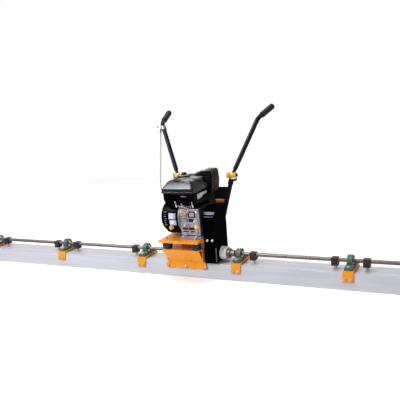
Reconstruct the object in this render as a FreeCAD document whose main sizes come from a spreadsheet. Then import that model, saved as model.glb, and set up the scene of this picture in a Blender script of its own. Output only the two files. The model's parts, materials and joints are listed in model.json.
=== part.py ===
"""Power screed: a vibrating levelling beam with an engine unit and two operator handles.

Frame: origin at the centre of the beam's flat sole, +X along the beam, +Y towards the
operator behind the beam, +Z up. All lengths are in millimetres.
"""
import FreeCAD, Part
import math
import os
import re
import Sketcher

Vector = FreeCAD.Vector

# ---------------------------------------------------------------- driving dimensions
DIMENSIONS = {
    # levelling beam
    "beam_length": 3600, "beam_height": 81, "beam_top_half": 62.5, "beam_sole_half": 80,
    "beam_wall": 4, "end_thickness": 5, "joint_pitch_wide": 90, "joint_pitch_high": 40,
    "joint_hole": 5.5,
    # saddle brackets and pillow blocks
    "station_pitch": 600, "bracket_width": 54, "bracket_plate": 6, "saddle_top": 93.7,
    "flange_bottom": 37, "rib_inner": 37.5, "flange_bolt_offset": 15, "flange_bolt_height": 50,
    "pillow_length": 127, "pillow_width": 38, "pillow_foot": 14, "pillow_bolt_y": 47.5,
    "pillow_crown": 29.5, "pillow_shoulder": 36, "bore_seat": 23.5, "ring_inner": 16.2,
    "race_radius": 20, "ring_width": 31, "outer_ring_width": 17, "ball_radius": 1.75,
    "ball_circle": 17.95, "m_twelve": 6, "m_ten": 5, "m_eight": 4,
    # vibrator shaft
    "shaft_height": 127, "shaft_radius": 10, "shaft_end": 1640, "journal_radius": 9,
    "journal_length": 40, "shaft_inner_end": 248,
    "drive_end": 212, "weight_offset": 79, "weight_width": 33, "weight_depth": 36,
    "weight_above": 12, "weight_below": 28,
    "coupling_radius": 36, "coupling_near": 193, "coupling_far": 230, "hub_far": 272,
    "hub_step": 246, "hub_big": 26, "hub_small": 18, "hub_inner": 24,
    "drive_bearing_x": 75,
    # drive
    "crank_height": 331, "pulley_x": 158, "pulley_half": 11, "driven_pitch": 30,
    "clutch_pitch": 45, "belt_half_depth": 4, "belt_half_width": 6.5, "groove_clear": 0.4,
    "drum_radius": 50, "drum_length": 18,
    "guard_left": 126, "guard_right": 191, "guard_half": 81, "guard_bottom": 89,
    "guard_shoulder": 349, "guard_top": 393, "guard_wall": 2.5, "guard_lean": 20,
    # base frame and engine tray
    "base_top": 170, "base_plate": 6, "base_half": 122, "base_reach": 130,
    "base_corner": 34, "web_waist": 104, "web_foot": 48, "web_half": 128,
    "isolator_x": 89, "isolator_y": 102, "isolator_radius": 28,
    "tray_top": 224, "tray_plate": 4, "tray_half": 122, "tray_reach": 141, "tray_lip": 13,
    # engine
    "case_left": 0, "case_right": 112, "cover_right": 122, "case_front": 84,
    "case_back": 70, "case_bottom": 238, "case_top": 392, "case_wall": 8,
    "foot_bottom": 224, "foot_reach": 97, "engine_bolt_x": 37.75, "engine_bolt_y": 92,
    "engine_centre": 55, "cylinder_x": 52, "cylinder_tilt": 25, "bore": 34,
    "barrel": 41, "fin_reach": 56, "barrel_start": 58, "barrel_end": 130,
    "head_end": 163, "plug_y": 149, "plug_z": 380, "rocker_end": 188,
    "crank_radius": 12, "pto_radius": 9.5, "throw": 22, "pin_radius": 13,
    "shroud_right": -30, "shroud_left": -100, "shroud_radius": 98, "shroud_half": 62,
    "shroud_top": 470, "switch_x": -52, "switch_z": 290, "control_x": -54,
    "filler_x": 98, "filler_z": 296,
    "control_y": 80, "shroud_wall": 3, "recoil_left": -124, "recoil_radius": 80,
    "flywheel_radius": 84, "tank_left": -90, "tank_right": 106, "tank_front": 108,
    "tank_back": 78, "tank_bottom": 477, "tank_top": 552, "tank_wall": 3,
    "cradle_bottom": 412, "cradle_front": 92, "cradle_back": 58,
    "muffler_left": 20, "muffler_right": 114, "muffler_front": 104, "muffler_back": 184,
    "muffler_bottom": 474, "muffler_top": 556, "shield_gap": 5, "shield_wall": 2,
    # handles
    "tube_radius": 13, "foot_x": 126, "foot_y": 156, "foot_z": 233,
    "pivot_x": 180, "pivot_y": 243, "pivot_z": 513, "bend_x": 318, "bend_y": 354,
    "bend_z": 818, "tip_x": 350, "tip_y": 501, "tip_z": 868, "tube_bend": 45,
    "grip_radius": 18, "grip_length": 118, "knob_radius": 18, "knob_depth": 16,
    "panel_low": 330, "panel_high": 450, "crossbar_z": 371,
    "cable_radius": 3.5,
}

STATIONS = (-2.5, -1.5, -0.5, 0.5, 1.5, 2.5)
WEIGHT_SIDES = {-2.5: (-1, 1), -1.5: (-1, 1), -0.5: (-1,), 0.5: (1,), 1.5: (-1, 1), 2.5: (-1, 1)}
SIDES = (("left", -1), ("right", 1))
CORNERS = ((-1, -1), (1, -1), (1, 1), (-1, 1))

doc = FreeCAD.newDocument("power_screed")
sheet = doc.addObject("Spreadsheet::Sheet", "Dims")
for row, (alias, value) in enumerate(DIMENSIONS.items(), start=1):
    sheet.set(f"A{row}", alias)
    sheet.set(f"B{row}", str(value))
    sheet.setAlias(f"B{row}", alias)
doc.recompute()

PARTS = {}


# ---------------------------------------------------------------- helpers
def cells(formula):
    """The formula with every alias pointing at the spreadsheet."""
    def point(word):
        return "Dims." + word[0] if word[0] in DIMENSIONS else word[0]
    return re.sub(r"[a-z_]+", point, str(formula))


def number(formula):
    """The formula's present value."""
    value = sheet.evalExpression(cells(formula))
    return float(getattr(value, "Value", value))


def vector(x, y, z):
    return Vector(number(x), number(y), number(z))


def bind(thing, **formulas):
    """Tie properties of an object to formulas over the spreadsheet."""
    for name, formula in formulas.items():
        thing.setExpression(name, cells(formula))
    return thing


def place(thing, x, y, z, rotation=None):
    if rotation is not None:
        thing.Placement.Rotation = rotation
    thing.setExpression("Placement.Base.x", cells(x))
    thing.setExpression("Placement.Base.y", cells(y))
    thing.setExpression("Placement.Base.z", cells(z))
    return thing


def part(label, thing):
    """Register a finished sub-part under the name of its node."""
    thing.Label = label
    PARTS[label] = thing
    return thing


def box(name, x, y, z, dx, dy, dz):
    """A box from its low corner and its three sizes."""
    solid = doc.addObject("Part::Box", name)
    bind(solid, Length=dx, Width=dy, Height=dz)
    return place(solid, x, y, z)


TURNS = {
    "x": FreeCAD.Rotation(Vector(0, 1, 0), 90),
    "y": FreeCAD.Rotation(Vector(1, 0, 0), -90),
    "z": FreeCAD.Rotation(),
}


def rod(name, axis, x, y, z, radius, length):
    """A cylinder that starts at a point and runs along +axis."""
    solid = doc.addObject("Part::Cylinder", name)
    bind(solid, Radius=radius, Height=length)
    return place(solid, x, y, z, TURNS[axis])


def fuse(name, *solids):
    joined = doc.addObject("Part::MultiFuse", name)
    joined.Shapes = list(solids)
    return joined


def cut(name, base, *tools):
    removed = doc.addObject("Part::Cut", name)
    removed.Base = base
    if len(tools) == 1:
        removed.Tool = tools[0]
    else:
        removed.Tool = group(name + "_tools", tools)
    return removed


def group(name, solids):
    """Separate solids kept together in one object."""
    several = doc.addObject("Part::Compound", name)
    several.Links = list(solids)
    return several


def feature(name, shape):
    """A shape made with Part's own functions from the sheet's values."""
    thing = doc.addObject("Part::Feature", name)
    thing.Shape = shape
    return thing


def new_body(name):
    return doc.addObject("PartDesign::Body", name)


def sketch_on(body, role, name, offset="0"):
    """A sketch on one of the body's own origin planes, moved along the plane's normal."""
    plane = [item for item in body.Origin.OriginFeatures if item.Role == role][0]
    sketch = body.newObject("Sketcher::SketchObject", name)
    sketch.AttachmentSupport = [(plane, "")]
    sketch.MapMode = "FlatFace"
    sketch.setExpression("AttachmentOffset.Base.z", cells(offset))
    return sketch


def fix_point(sketch, geometry, position, u, v):
    """Hold a sketch point at formulas for its two coordinates."""
    for kind, formula in (("DistanceX", u), ("DistanceY", v)):
        index = sketch.addConstraint(
            Sketcher.Constraint(kind, -1, 1, geometry, position, number(formula)))
        sketch.setExpression(f"Constraints[{index}]", cells(formula))


def outline(sketch, corners):
    """A closed outline of straight lines through corners given as formulas."""
    points = [Vector(number(u), number(v), 0) for u, v in corners]
    first = sketch.GeometryCount
    for index, point in enumerate(points):
        following = points[(index + 1) % len(points)]
        sketch.addGeometry(Part.LineSegment(point, following), False)
    for index, (u, v) in enumerate(corners):
        line = first + index
        following = first + (index + 1) % len(points)
        sketch.addConstraint(Sketcher.Constraint("Coincident", line, 2, following, 1))
        fix_point(sketch, line, 1, u, v)


def ring(sketch, u, v, radius):
    """A circle with a bound centre and radius."""
    centre = Vector(number(u), number(v), 0)
    circle = sketch.addGeometry(Part.Circle(centre, Vector(0, 0, 1), number(radius)), False)
    index = sketch.addConstraint(Sketcher.Constraint("Radius", circle, number(radius)))
    sketch.setExpression(f"Constraints[{index}]", cells(radius))
    fix_point(sketch, circle, 3, u, v)


def pad(body, sketch, length, middle=True):
    raised = body.newObject("PartDesign::Pad", sketch.Name + "_pad")
    raised.Profile = sketch
    raised.SideType = "Symmetric" if middle else "One side"
    bind(raised, Length=length)
    return raised


def pocket(body, sketch, length):
    """A pocket cut to both sides of its sketch; it must take material away."""
    before = body.Shape.Volume if body.Shape and not body.Shape.isNull() else None
    sunk = body.newObject("PartDesign::Pocket", sketch.Name + "_pocket")
    sunk.Profile = sketch
    sunk.SideType = "Symmetric"
    bind(sunk, Length=length)
    doc.recompute()
    if before is not None and body.Shape.Volume > before - 1:
        raise ValueError(f"{sketch.Name} cuts nothing")
    return sunk


def turned(body, sketch, direction):
    """A full revolution of a sketch about one of the body's own axes."""
    axis = [item for item in body.Origin.OriginFeatures if item.Role == direction][0]
    spun = body.newObject("PartDesign::Revolution", sketch.Name + "_turn")
    spun.Profile = sketch
    spun.ReferenceAxis = (axis, [""])
    spun.Angle = 360
    return spun


def upright_edges(shape, direction):
    """Names of the straight edges along a direction."""
    names = []
    for index, edge in enumerate(shape.Edges, start=1):
        if edge.Curve.TypeId != "Part::GeomLine":
            continue
        run = edge.Vertexes[-1].Point - edge.Vertexes[0].Point
        if abs(run.normalize().dot(direction)) > 0.999:
            names.append(f"Edge{index}")
    return names


def rounded(body, feature_before, edges, radius):
    fillet = body.newObject("PartDesign::Fillet", feature_before.Name + "_round")
    fillet.Base = (feature_before, edges)
    bind(fillet, Radius=radius)
    return fillet


def bolt(name, start, direction, radius, length, head=True):
    """A hexagon bolt: its shank starts at a point, and its head stands behind that point."""
    direction = Vector(direction).normalize()
    turn = FreeCAD.Rotation(Vector(0, 0, 1), direction)
    shank = doc.addObject("Part::Cylinder", name + "_shank")
    shank.Radius = radius
    shank.Height = length
    shank.Placement = FreeCAD.Placement(start, turn)
    if not head:
        return shank, shank
    hexagon = doc.addObject("Part::Prism", name + "_head")
    hexagon.Polygon = 6
    hexagon.Circumradius = 1.85 * radius
    hexagon.Height = 1.3 * radius
    hexagon.Placement = FreeCAD.Placement(start - direction * (1.3 * radius), turn)
    return fuse(name, hexagon, shank), shank


def smooth_path(points, bend=None):
    """One wire of straight runs joined by tangent arcs."""
    edges = []
    start = points[0]
    for before, corner, after in zip(points, points[1:], points[2:]):
        back = (before - corner).normalize()
        ahead = (after - corner).normalize()
        half_turn = (math.pi - back.getAngle(ahead)) / 2
        shorter = min((before - corner).Length, (after - corner).Length)
        radius = bend if bend else 0.45 * shorter / math.tan(half_turn)
        reach = radius * math.tan(half_turn)
        enter = corner + back * reach
        leave = corner + ahead * reach
        centre = corner + (back + ahead).normalize() * (radius / math.cos(half_turn))
        middle = centre + (corner - centre).normalize() * radius
        edges.append(Part.LineSegment(start, enter).toShape())
        edges.append(Part.Arc(enter, middle, leave).toShape())
        start = leave
    edges.append(Part.LineSegment(start, points[-1]).toShape())
    return Part.Wire(edges)


def tube_along(name, points, radius, bend=None):
    """A round bar along a path, its volume compared with section times length."""
    path = smooth_path(points, bend)
    section = Part.Wire([Part.Circle(points[0], points[1] - points[0], radius).toShape()])
    solid = path.makePipeShell([section], True, True)
    expected = math.pi * radius ** 2 * path.Length
    if abs(solid.Volume - expected) > 0.01 * expected:
        raise ValueError(f"{name} has volume {solid.Volume:.0f}, not {expected:.0f}")
    return feature(name, solid)


def straight_bar(name, start, end, radius, inner=None):
    """A round bar or tube between two points."""
    run = end - start
    bar = doc.addObject("Part::Cylinder", name if inner is None else name + "_outside")
    bar.Radius = radius
    bar.Height = run.Length
    bar.Placement = FreeCAD.Placement(start, FreeCAD.Rotation(Vector(0, 0, 1), run))
    if inner is None:
        return bar
    hollow = doc.addObject("Part::Cylinder", name + "_inside")
    hollow.Radius = inner
    hollow.Height = run.Length
    hollow.Placement = bar.Placement
    return cut(name, bar, hollow)


# ---------------------------------------------------------------- levelling beam
SLOPE = "(beam_sole_half - beam_top_half) / beam_height"


def face_y(height):
    """Distance of the beam's slanted face from the middle at a height."""
    return f"(beam_top_half + (beam_height - ({height})) * {SLOPE})"


def make_beam(holes):
    """The hollow trapezoid extrusion with a centre web, closed by two end plates."""
    body = new_body("beam_extrusion")
    sketch = sketch_on(body, "YZ_Plane", "beam_section")
    outline(sketch, (("-beam_sole_half", "0"), ("beam_sole_half", "0"),
                     ("beam_top_half", "beam_height"), ("-beam_top_half", "beam_height")))
    for side in ("-", ""):
        near = f"{side}(beam_wall / 2)"
        low = f"{side}(beam_sole_half - 1.6 * beam_wall)"
        high = f"{side}(beam_top_half - 1.2 * beam_wall)"
        outline(sketch, ((near, "beam_wall"), (low, "beam_wall"),
                         (high, "beam_height - beam_wall"), (near, "beam_height - beam_wall")))
    pad(body, sketch, "beam_length - 2 * end_thickness")
    part("beam", cut("drilled_beam", body, *holes))
    plates = []
    for side, sign in SIDES:
        plate = new_body(f"end_{side}")
        face = sketch_on(plate, "YZ_Plane", f"end_face_{side}",
                         f"{sign} * (beam_length - end_thickness) / 2")
        outline(face, (("-beam_sole_half", "0"), ("beam_sole_half", "0"),
                       ("beam_top_half", "beam_height"), ("-beam_top_half", "beam_height")))
        for y, z in CORNERS:
            ring(face, f"{y} * joint_pitch_wide / 2",
                 f"beam_height / 2 + {z} * joint_pitch_high / 2", "joint_hole")
        pad(plate, face, "end_thickness")
        plates.append(plate)
    part("end_plates", group("both_end_plates", plates))


# ---------------------------------------------------------------- bearing stations
def make_bracket(station):
    """A folded saddle over the beam with two ribs under the pillow block's bolts."""
    tag = f"saddle_{STATIONS.index(station) + 1}"
    body = new_body(tag)
    sketch = sketch_on(body, "YZ_Plane", tag + "_section")
    skin = "1.023 * bracket_plate"
    half = (("beam_top_half", "beam_height"), (face_y("flange_bottom"), "flange_bottom"),
            (f"{face_y('flange_bottom')} + {skin}", "flange_bottom"),
            (f"{face_y('saddle_top')} + {skin}", "saddle_top"))
    mirrored = [(f"-({u})", v) for u, v in reversed(half)]
    gap = (("-rib_inner", "beam_height"), ("-rib_inner", "saddle_top - bracket_plate"),
           ("rib_inner", "saddle_top - bracket_plate"), ("rib_inner", "beam_height"))
    outline(sketch, list(half) + mirrored + list(gap))
    pad(body, sketch, "bracket_width")
    place(body, f"{station} * station_pitch", "0", "0")
    return body


def make_pillow(tag, x):
    """A cast pillow block: slotted foot, round crown and a bore for the insert."""
    body = new_body(tag)
    foot = sketch_on(body, "YZ_Plane", tag + "_foot")
    outline(foot, (("-pillow_length / 2", "saddle_top"), ("pillow_length / 2", "saddle_top"),
                   ("pillow_length / 2", "saddle_top + pillow_foot"),
                   ("pillow_shoulder", "saddle_top + pillow_foot"),
                   ("pillow_crown - 4", "saddle_top + 1.6 * pillow_foot"),
                   ("4 - pillow_crown", "saddle_top + 1.6 * pillow_foot"),
                   ("-pillow_shoulder", "saddle_top + pillow_foot"),
                   ("-pillow_length / 2", "saddle_top + pillow_foot")))
    pad(body, foot, "pillow_width")
    crown = sketch_on(body, "YZ_Plane", tag + "_crown")
    ring(crown, "0", "shaft_height", "pillow_crown")
    pad(body, crown, "0.72 * pillow_width")
    seat = sketch_on(body, "YZ_Plane", tag + "_seat")
    ring(seat, "0", "shaft_height", "bore_seat")
    pocket(body, seat, "2 * pillow_width")
    place(body, x, "0", "0")
    return body


def make_insert(tag, x):
    """Outer ring, inner ring and balls of one bearing insert."""
    half_out = "outer_ring_width / 2"
    half_in = "ring_width / 2"
    outer = cut(tag + "_outer",
                rod(tag + "_outer_blank", "x", f"{x} - {half_out}", "0", "shaft_height",
                    "bore_seat", "outer_ring_width"),
                rod(tag + "_outer_hole", "x", f"{x} - {half_in}", "0", "shaft_height",
                    "race_radius", "ring_width"))
    inner = cut(tag + "_inner",
                rod(tag + "_inner_blank", "x", f"{x} - {half_in}", "0", "shaft_height",
                    "ring_inner", "ring_width"),
                rod(tag + "_inner_hole", "x", f"{x} - {half_in}", "0", "shaft_height",
                    "shaft_radius", "ring_width"))
    balls = []
    for index in range(8):
        angle = index * 45
        ball = doc.addObject("Part::Sphere", f"{tag}_ball_{index}")
        bind(ball, Radius="ball_radius")
        place(ball, x, f"ball_circle * cos({angle})", f"shaft_height + ball_circle * sin({angle})")
        balls.append(ball)
    return outer, inner, balls


def make_stations():
    """All bearing stations, with the two hidden bearings of the drive shaft."""
    bolts = []
    beam_holes = []
    brackets = []
    pillows = []
    outers = []
    inners = []
    balls = []
    lean = Vector(0, 1, number(SLOPE)).normalize()
    spots = [(f"station_{n}", s, f"{s} * station_pitch") for n, s in enumerate(STATIONS, 1)]
    spots += [(f"drive_bearing_{side}", None, f"{sign} * drive_bearing_x") for side, sign in SIDES]
    risers = []
    for tag, station, x in spots:
        shanks = []
        for sign in (-1, 1):
            top = vector(x, f"{sign} * pillow_bolt_y", "saddle_top + pillow_foot")
            solid, shank = bolt(f"{tag}_pillow_bolt_{sign + 2}", top, Vector(0, 0, -1),
                                number("m_twelve"), number("pillow_foot") + 20)
            bolts.append(solid)
            shanks.append(shank)
        flange_shanks = []
        if station is not None:
            for along, sign in CORNERS:
                skin = number("1.023 * bracket_plate")
                outside = vector(f"{x} + {along} * flange_bolt_offset",
                                 f"{sign} * ({face_y('flange_bolt_height')} + {skin})",
                                 "flange_bolt_height")
                inward = Vector(0, -sign * lean.y, -lean.z)
                solid, shank = bolt(f"{tag}_flange_bolt_{along + 2}{sign + 2}", outside, inward,
                                    number("m_eight"), 14)
                bolts.append(solid)
                flange_shanks.append(shank)
            brackets.append(cut(tag + "_bracket", make_bracket(station),
                                *shanks, *flange_shanks))
        else:
            riser = box(tag + "_riser", f"{x} - bracket_width / 2", "-56", "beam_height",
                        "bracket_width", "112", "saddle_top - beam_height")
            risers.append(cut(tag + "_riser_drilled", riser, *shanks))
        pillows.append(cut(tag + "_pillow", make_pillow(tag + "_housing", x), *shanks))
        beam_holes += shanks + flange_shanks
        outer, inner, balls_here = make_insert(tag, x)
        outers.append(outer)
        inners.append(inner)
        balls += balls_here
    part("bearing_brackets", group("all_brackets", brackets))
    part("pillow_housings", group("all_pillows", pillows))
    part("bearing_risers", group("all_risers", risers))
    part("bearing_outer_rings", group("all_outer_rings", outers))
    part("bearing_inner_rings", group("all_inner_rings", inners))
    part("bearing_balls", group("all_balls", balls))
    return bolts, beam_holes


# ---------------------------------------------------------------- vibrator shaft
def make_shaft():
    """The driven left shaft, the coupled right shaft, the weights and the coupling."""
    spans = []
    for side, near, far, end in (
            ("left", "journal_length - shaft_end", "drive_end", "-shaft_end"),
            ("right", "shaft_inner_end", "shaft_end - journal_length",
             "shaft_end - journal_length - 5")):
        middle = rod(f"shaft_middle_{side}", "x", near, "0", "shaft_height", "shaft_radius",
                     f"{far} - ({near})")
        journal = rod(f"shaft_journal_{side}", "x", end, "0", "shaft_height",
                      "journal_radius", "journal_length + 5")
        spans.append(fuse(f"shaft_{side}", middle, journal))
    part("vibrator_shafts", group("both_shafts", spans))
    weights = []
    weight_bolts = []
    for station, sides in WEIGHT_SIDES.items():
        for side in sides:
            x = f"({station} * station_pitch + {side} * weight_offset)"
            tag = f"weight_{STATIONS.index(station) + 1}_{side + 2}"
            block = box(tag + "_block", f"{x} - weight_width / 2", "-weight_depth / 2",
                        "shaft_height - weight_below", "weight_width", "weight_depth",
                        "weight_above + weight_below")
            bore = rod(tag + "_bore", "x", f"{x} - weight_width / 2", "0", "shaft_height",
                       "shaft_radius", "weight_width")
            low = vector(x, "0", "shaft_height - weight_below - 8")
            solid, shank = bolt(tag + "_bolt", low, Vector(0, 0, 1), number("m_ten"), 22)
            weights.append(cut(tag, block, bore, shank))
            weight_bolts.append(solid)
    part("eccentric_weights", group("all_weights", weights))
    part("weight_bolts", group("all_weight_bolts", weight_bolts))
    length = "coupling_far - coupling_near"
    blank = rod("coupling_blank", "x", "coupling_near", "0", "shaft_height",
                "coupling_radius", length)
    hole = rod("coupling_hole", "x", "coupling_near", "0", "shaft_height", "hub_inner", length)
    part("coupling", cut("coupling_ring", blank, hole))
    inner = cut("coupling_inner_hub",
                rod("inner_hub_blank", "x", "coupling_near - 14", "0", "shaft_height",
                    "hub_inner", "drive_end + 14 - coupling_near"),
                rod("inner_hub_bore", "x", "coupling_near - 14", "0", "shaft_height",
                    "shaft_radius", "drive_end + 14 - coupling_near"))
    outer = cut("coupling_outer_hub",
                fuse("outer_hub_blank",
                     rod("outer_hub_plug", "x", "shaft_inner_end - 32", "0", "shaft_height",
                         "hub_inner", "coupling_far - shaft_inner_end + 32"),
                     rod("outer_hub_flange", "x", "coupling_far", "0", "shaft_height",
                         "hub_big", "hub_step - coupling_far"),
                     rod("outer_hub_neck", "x", "hub_step", "0", "shaft_height", "hub_small",
                         "hub_far - hub_step")),
                rod("outer_hub_bore", "x", "shaft_inner_end", "0", "shaft_height",
                    "shaft_radius", "hub_far - shaft_inner_end"))
    part("coupling_hubs", group("both_hubs", [inner, outer]))


# ---------------------------------------------------------------- belt drive and guard
def pulley_outline(sketch, pitch, bore, half, back):
    """Half section of a grooved pulley turned about the X axis."""
    floor = f"({pitch} - belt_half_depth - groove_clear)"
    rim = f"({pitch} + belt_half_depth + 1)"
    outline(sketch, ((f"pulley_x - {half}", bore), (f"pulley_x + {half}", bore),
                     (f"pulley_x + {half}", rim), ("pulley_x + 7.6", rim),
                     ("pulley_x + 4.6", floor), ("pulley_x - 4.6", floor),
                     ("pulley_x - 7.6", rim), (f"pulley_x - {back}", rim),
                     (f"pulley_x - {half}", rim)))


def make_drive():
    """Driven pulley, clutch drum with its pulley, clutch hub with shoes, and the belt."""
    pulleys = []
    for label, pitch, bore, height in (
            ("lower", "driven_pitch", "shaft_radius", "shaft_height"),
            ("upper", "clutch_pitch", "pto_radius + 4", "crank_height")):
        body = new_body(f"{label}_pulley_body")
        sketch = sketch_on(body, "XY_Plane", f"{label}_pulley_section")
        pulley_outline(sketch, pitch, bore, "pulley_half", "8.6")
        turned(body, sketch, "X_Axis")
        place(body, "0", "0", height)
        pulleys.append(body)
    part("driven_pulley", pulleys[0])
    start = "pulley_x - pulley_half - drum_length"
    shell = cut("drum_shell",
                rod("drum_outside", "x", start, "0", "crank_height", "drum_radius",
                    "drum_length"),
                rod("drum_inside", "x", start, "0", "crank_height", "drum_radius - 4",
                    "drum_length - 3"),
                rod("drum_eye", "x", start, "0", "crank_height", "pto_radius + 4",
                    "drum_length"))
    part("clutch_drum", fuse("clutch_drum_whole", pulleys[1], shell))
    hub = cut("clutch_hub_solid",
              fuse("clutch_hub_blank",
                   rod("hub_sleeve", "x", start, "0", "crank_height", "pto_radius + 4",
                       "drum_length + 2 * pulley_half"),
                   box("hub_arm", f"{start} + 1", "-36", "crank_height - 9",
                       "drum_length - 6", "72", "18")),
              rod("hub_bore", "x", start, "0", "crank_height", "pto_radius",
                  "drum_length + 2 * pulley_half"))
    shoes = []
    for name, sign in (("upper", 1), ("lower", -1)):
        blank = cut(f"shoe_{name}_blank",
                    rod(f"shoe_{name}_outside", "x", f"{start} + 1", "0", "crank_height",
                        "drum_radius - 4.5", "drum_length - 6"),
                    rod(f"shoe_{name}_inside", "x", f"{start} + 1", "0", "crank_height",
                        "pto_radius + 12", "drum_length - 6"))
        low = "crank_height + 10" if sign > 0 else "crank_height - 10 - drum_radius"
        half = box(f"shoe_{name}_half", start, "-drum_radius", low, "drum_length",
                   "2 * drum_radius", "drum_radius")
        shoe = doc.addObject("Part::Common", f"shoe_{name}")
        shoe.Base = blank
        shoe.Tool = half
        shoes.append(shoe)
    part("clutch_hub", group("clutch_hub_and_shoes", [hub] + shoes))
    part("v_belt", make_belt())


def make_belt():
    """The belt loop: two arcs and two tangent runs, swept with a tapered section."""
    low = number("shaft_height")
    high = number("crank_height")
    small = number("driven_pitch")
    large = number("clutch_pitch")
    x = number("pulley_x")
    lean = math.asin((large - small) / (high - low))
    cosine = math.cos(lean)
    sine = math.sin(lean)

    def on(radius, height, side):
        return Vector(x, side * radius * cosine, height - radius * sine)

    lower = (on(small, low, -1), Vector(x, 0, low - small), on(small, low, 1))
    upper = (on(large, high, 1), Vector(x, 0, high + large), on(large, high, -1))
    path = Part.Wire([Part.Arc(*lower).toShape(),
                      Part.LineSegment(lower[2], upper[0]).toShape(),
                      Part.Arc(*upper).toShape(),
                      Part.LineSegment(upper[2], lower[0]).toShape()])
    deep = number("belt_half_depth")
    wide = number("belt_half_width")
    start = lower[0]
    outward = Vector(0, -cosine, -sine)
    across = Vector(1, 0, 0)
    corners = [start + outward * deep - across * wide, start + outward * deep + across * wide,
               start - outward * deep + across * (wide - 2.5),
               start - outward * deep - across * (wide - 2.5)]
    section = Part.makePolygon(corners + corners[:1])
    loop = path.makePipeShell([section], True, False)
    return feature("belt_loop", loop)


def guard_profile(inset):
    """Side outline of the guard: upright front, sloped shoulder and a rounded crown."""
    half = number("guard_half") - inset
    bottom = number("guard_bottom") + inset
    shoulder = number("guard_shoulder")
    top = number("guard_top") - inset
    points = [(-half, bottom), (number("guard_lean") - half, shoulder),
              (-42 + 0.6 * inset, top - 26),
              (-10, top - 6), (40, top), (half + 8 - inset, top - 26),
              (half + 10 - inset, shoulder - 60), (half, bottom)]
    return [Vector(0, y, z) for y, z in points]


def make_guard():
    """Belt guard: a back plate fixed to the tray and a deep cover over the belt."""
    left = number("guard_left")
    right = number("guard_right")
    wall = number("guard_wall")

    def slab(inset, start, end):
        points = guard_profile(inset)
        face = Part.Face(Part.makePolygon(points + points[:1]))
        face.translate(Vector(start, 0, 0))
        return face.extrude(Vector(end - start, 0, 0))

    rim = slab(0, left, right)
    inside = slab(wall, left + wall, right - wall)
    shaft_eye = Part.makeCylinder(30, 200, vector("60", "0", "shaft_height"), Vector(1, 0, 0))
    crank_eye = Part.makeCylinder(30, 60, vector("100", "0", "crank_height"), Vector(1, 0, 0))
    back = slab(0, left, left + wall).cut(shaft_eye).cut(crank_eye)
    cover = rim.cut(inside).cut(slab(0, left, left + wall)).cut(shaft_eye)
    part("guard_back_plate", feature("guard_back", back))
    part("guard_cover", feature("guard_shell", cover))


# ---------------------------------------------------------------- base frame and tray
def make_base():
    """A folded plate over the beam: a top with rounded corners, two webs and two cheeks."""
    plate = new_body("base_plate_body")
    top = sketch_on(plate, "XY_Plane", "base_plate_outline", "base_top - base_plate / 2")
    outline(top, (("-base_half", "-base_reach"), ("base_half", "-base_reach"),
                  ("base_half", "base_reach"), ("-base_half", "base_reach")))
    raised = pad(plate, top, "base_plate")
    doc.recompute()
    edges = upright_edges(raised.Shape, Vector(0, 0, 1))
    rounded(plate, raised, edges, "base_corner")
    solids = [plate]
    shanks = []
    bolts = []
    for name, sign in (("front", -1), ("rear", 1)):
        web = new_body(f"web_{name}")
        section = sketch_on(web, "YZ_Plane", f"web_{name}_section")
        skin = "1.023 * bracket_plate"
        corner = "beam_height + 4"
        half = (("base_reach - 12", "base_top - base_plate"),
                ("base_reach - 4", "base_top - base_plate"),
                (f"{face_y(corner)} + {skin}", corner),
                (f"{face_y('web_foot')} + {skin}", "web_foot"),
                (face_y("web_foot"), "web_foot"),
                (face_y("beam_height"), "beam_height"),
                (f"{face_y(corner)}", corner))
        outline(section, [(f"{sign} * ({u})", v) for u, v in half])
        pad(web, section, "2 * web_half")
        trims = []
        for x_name, along in SIDES:
            trim = new_body(f"web_trim_{name}_{x_name}")
            side = sketch_on(trim, "XZ_Plane", f"web_trim_{name}_{x_name}_outline")
            outline(side, ((f"{along} * (web_half + 4)", "web_foot + 14"),
                           (f"{along} * (web_half - 20)", "web_waist"),
                           (f"{along} * (web_half - 10)", "base_top"),
                           (f"{along} * (web_half + 4)", "base_top")))
            pad(trim, side, "3 * base_reach")
            trims.append(trim)
        for index in range(-1, 3):
            trims.append(rod(f"web_scallop_{name}_{index + 1}", "y",
                             f"({index} - 0.5) * web_half", "-base_reach", "web_foot - 22",
                             "28", "2 * base_reach"))
        for index in (-1, 0, 1):
            height = "web_foot + 12"
            outside = vector(f"{index} * 118", f"{sign} * ({face_y(height)} + {skin})", height)
            lean = math.atan(number(SLOPE))
            inward = Vector(0, -sign * math.cos(lean), -math.sin(lean))
            solid, shank = bolt(f"base_bolt_{name}_{index + 2}", outside, inward,
                                number("m_ten"), 16)
            bolts.append(solid)
            shanks.append(shank)
            trims.append(shank)
        solids.append(cut(f"web_{name}_trimmed", web, *trims))
    for x_name, along in SIDES:
        blank = box(f"cheek_{x_name}_plate", f"{along} * 112 - 3", "-84", "beam_height + 10",
                    "6", "168", "base_top - base_plate - beam_height - 10")
        hole = rod(f"cheek_{x_name}_hole", "x", f"{along} * 112 - 3", "0", "shaft_height",
                   "33", "6")
        solids.append(cut(f"cheek_{x_name}", blank, hole))
    return solids, bolts, shanks


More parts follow.
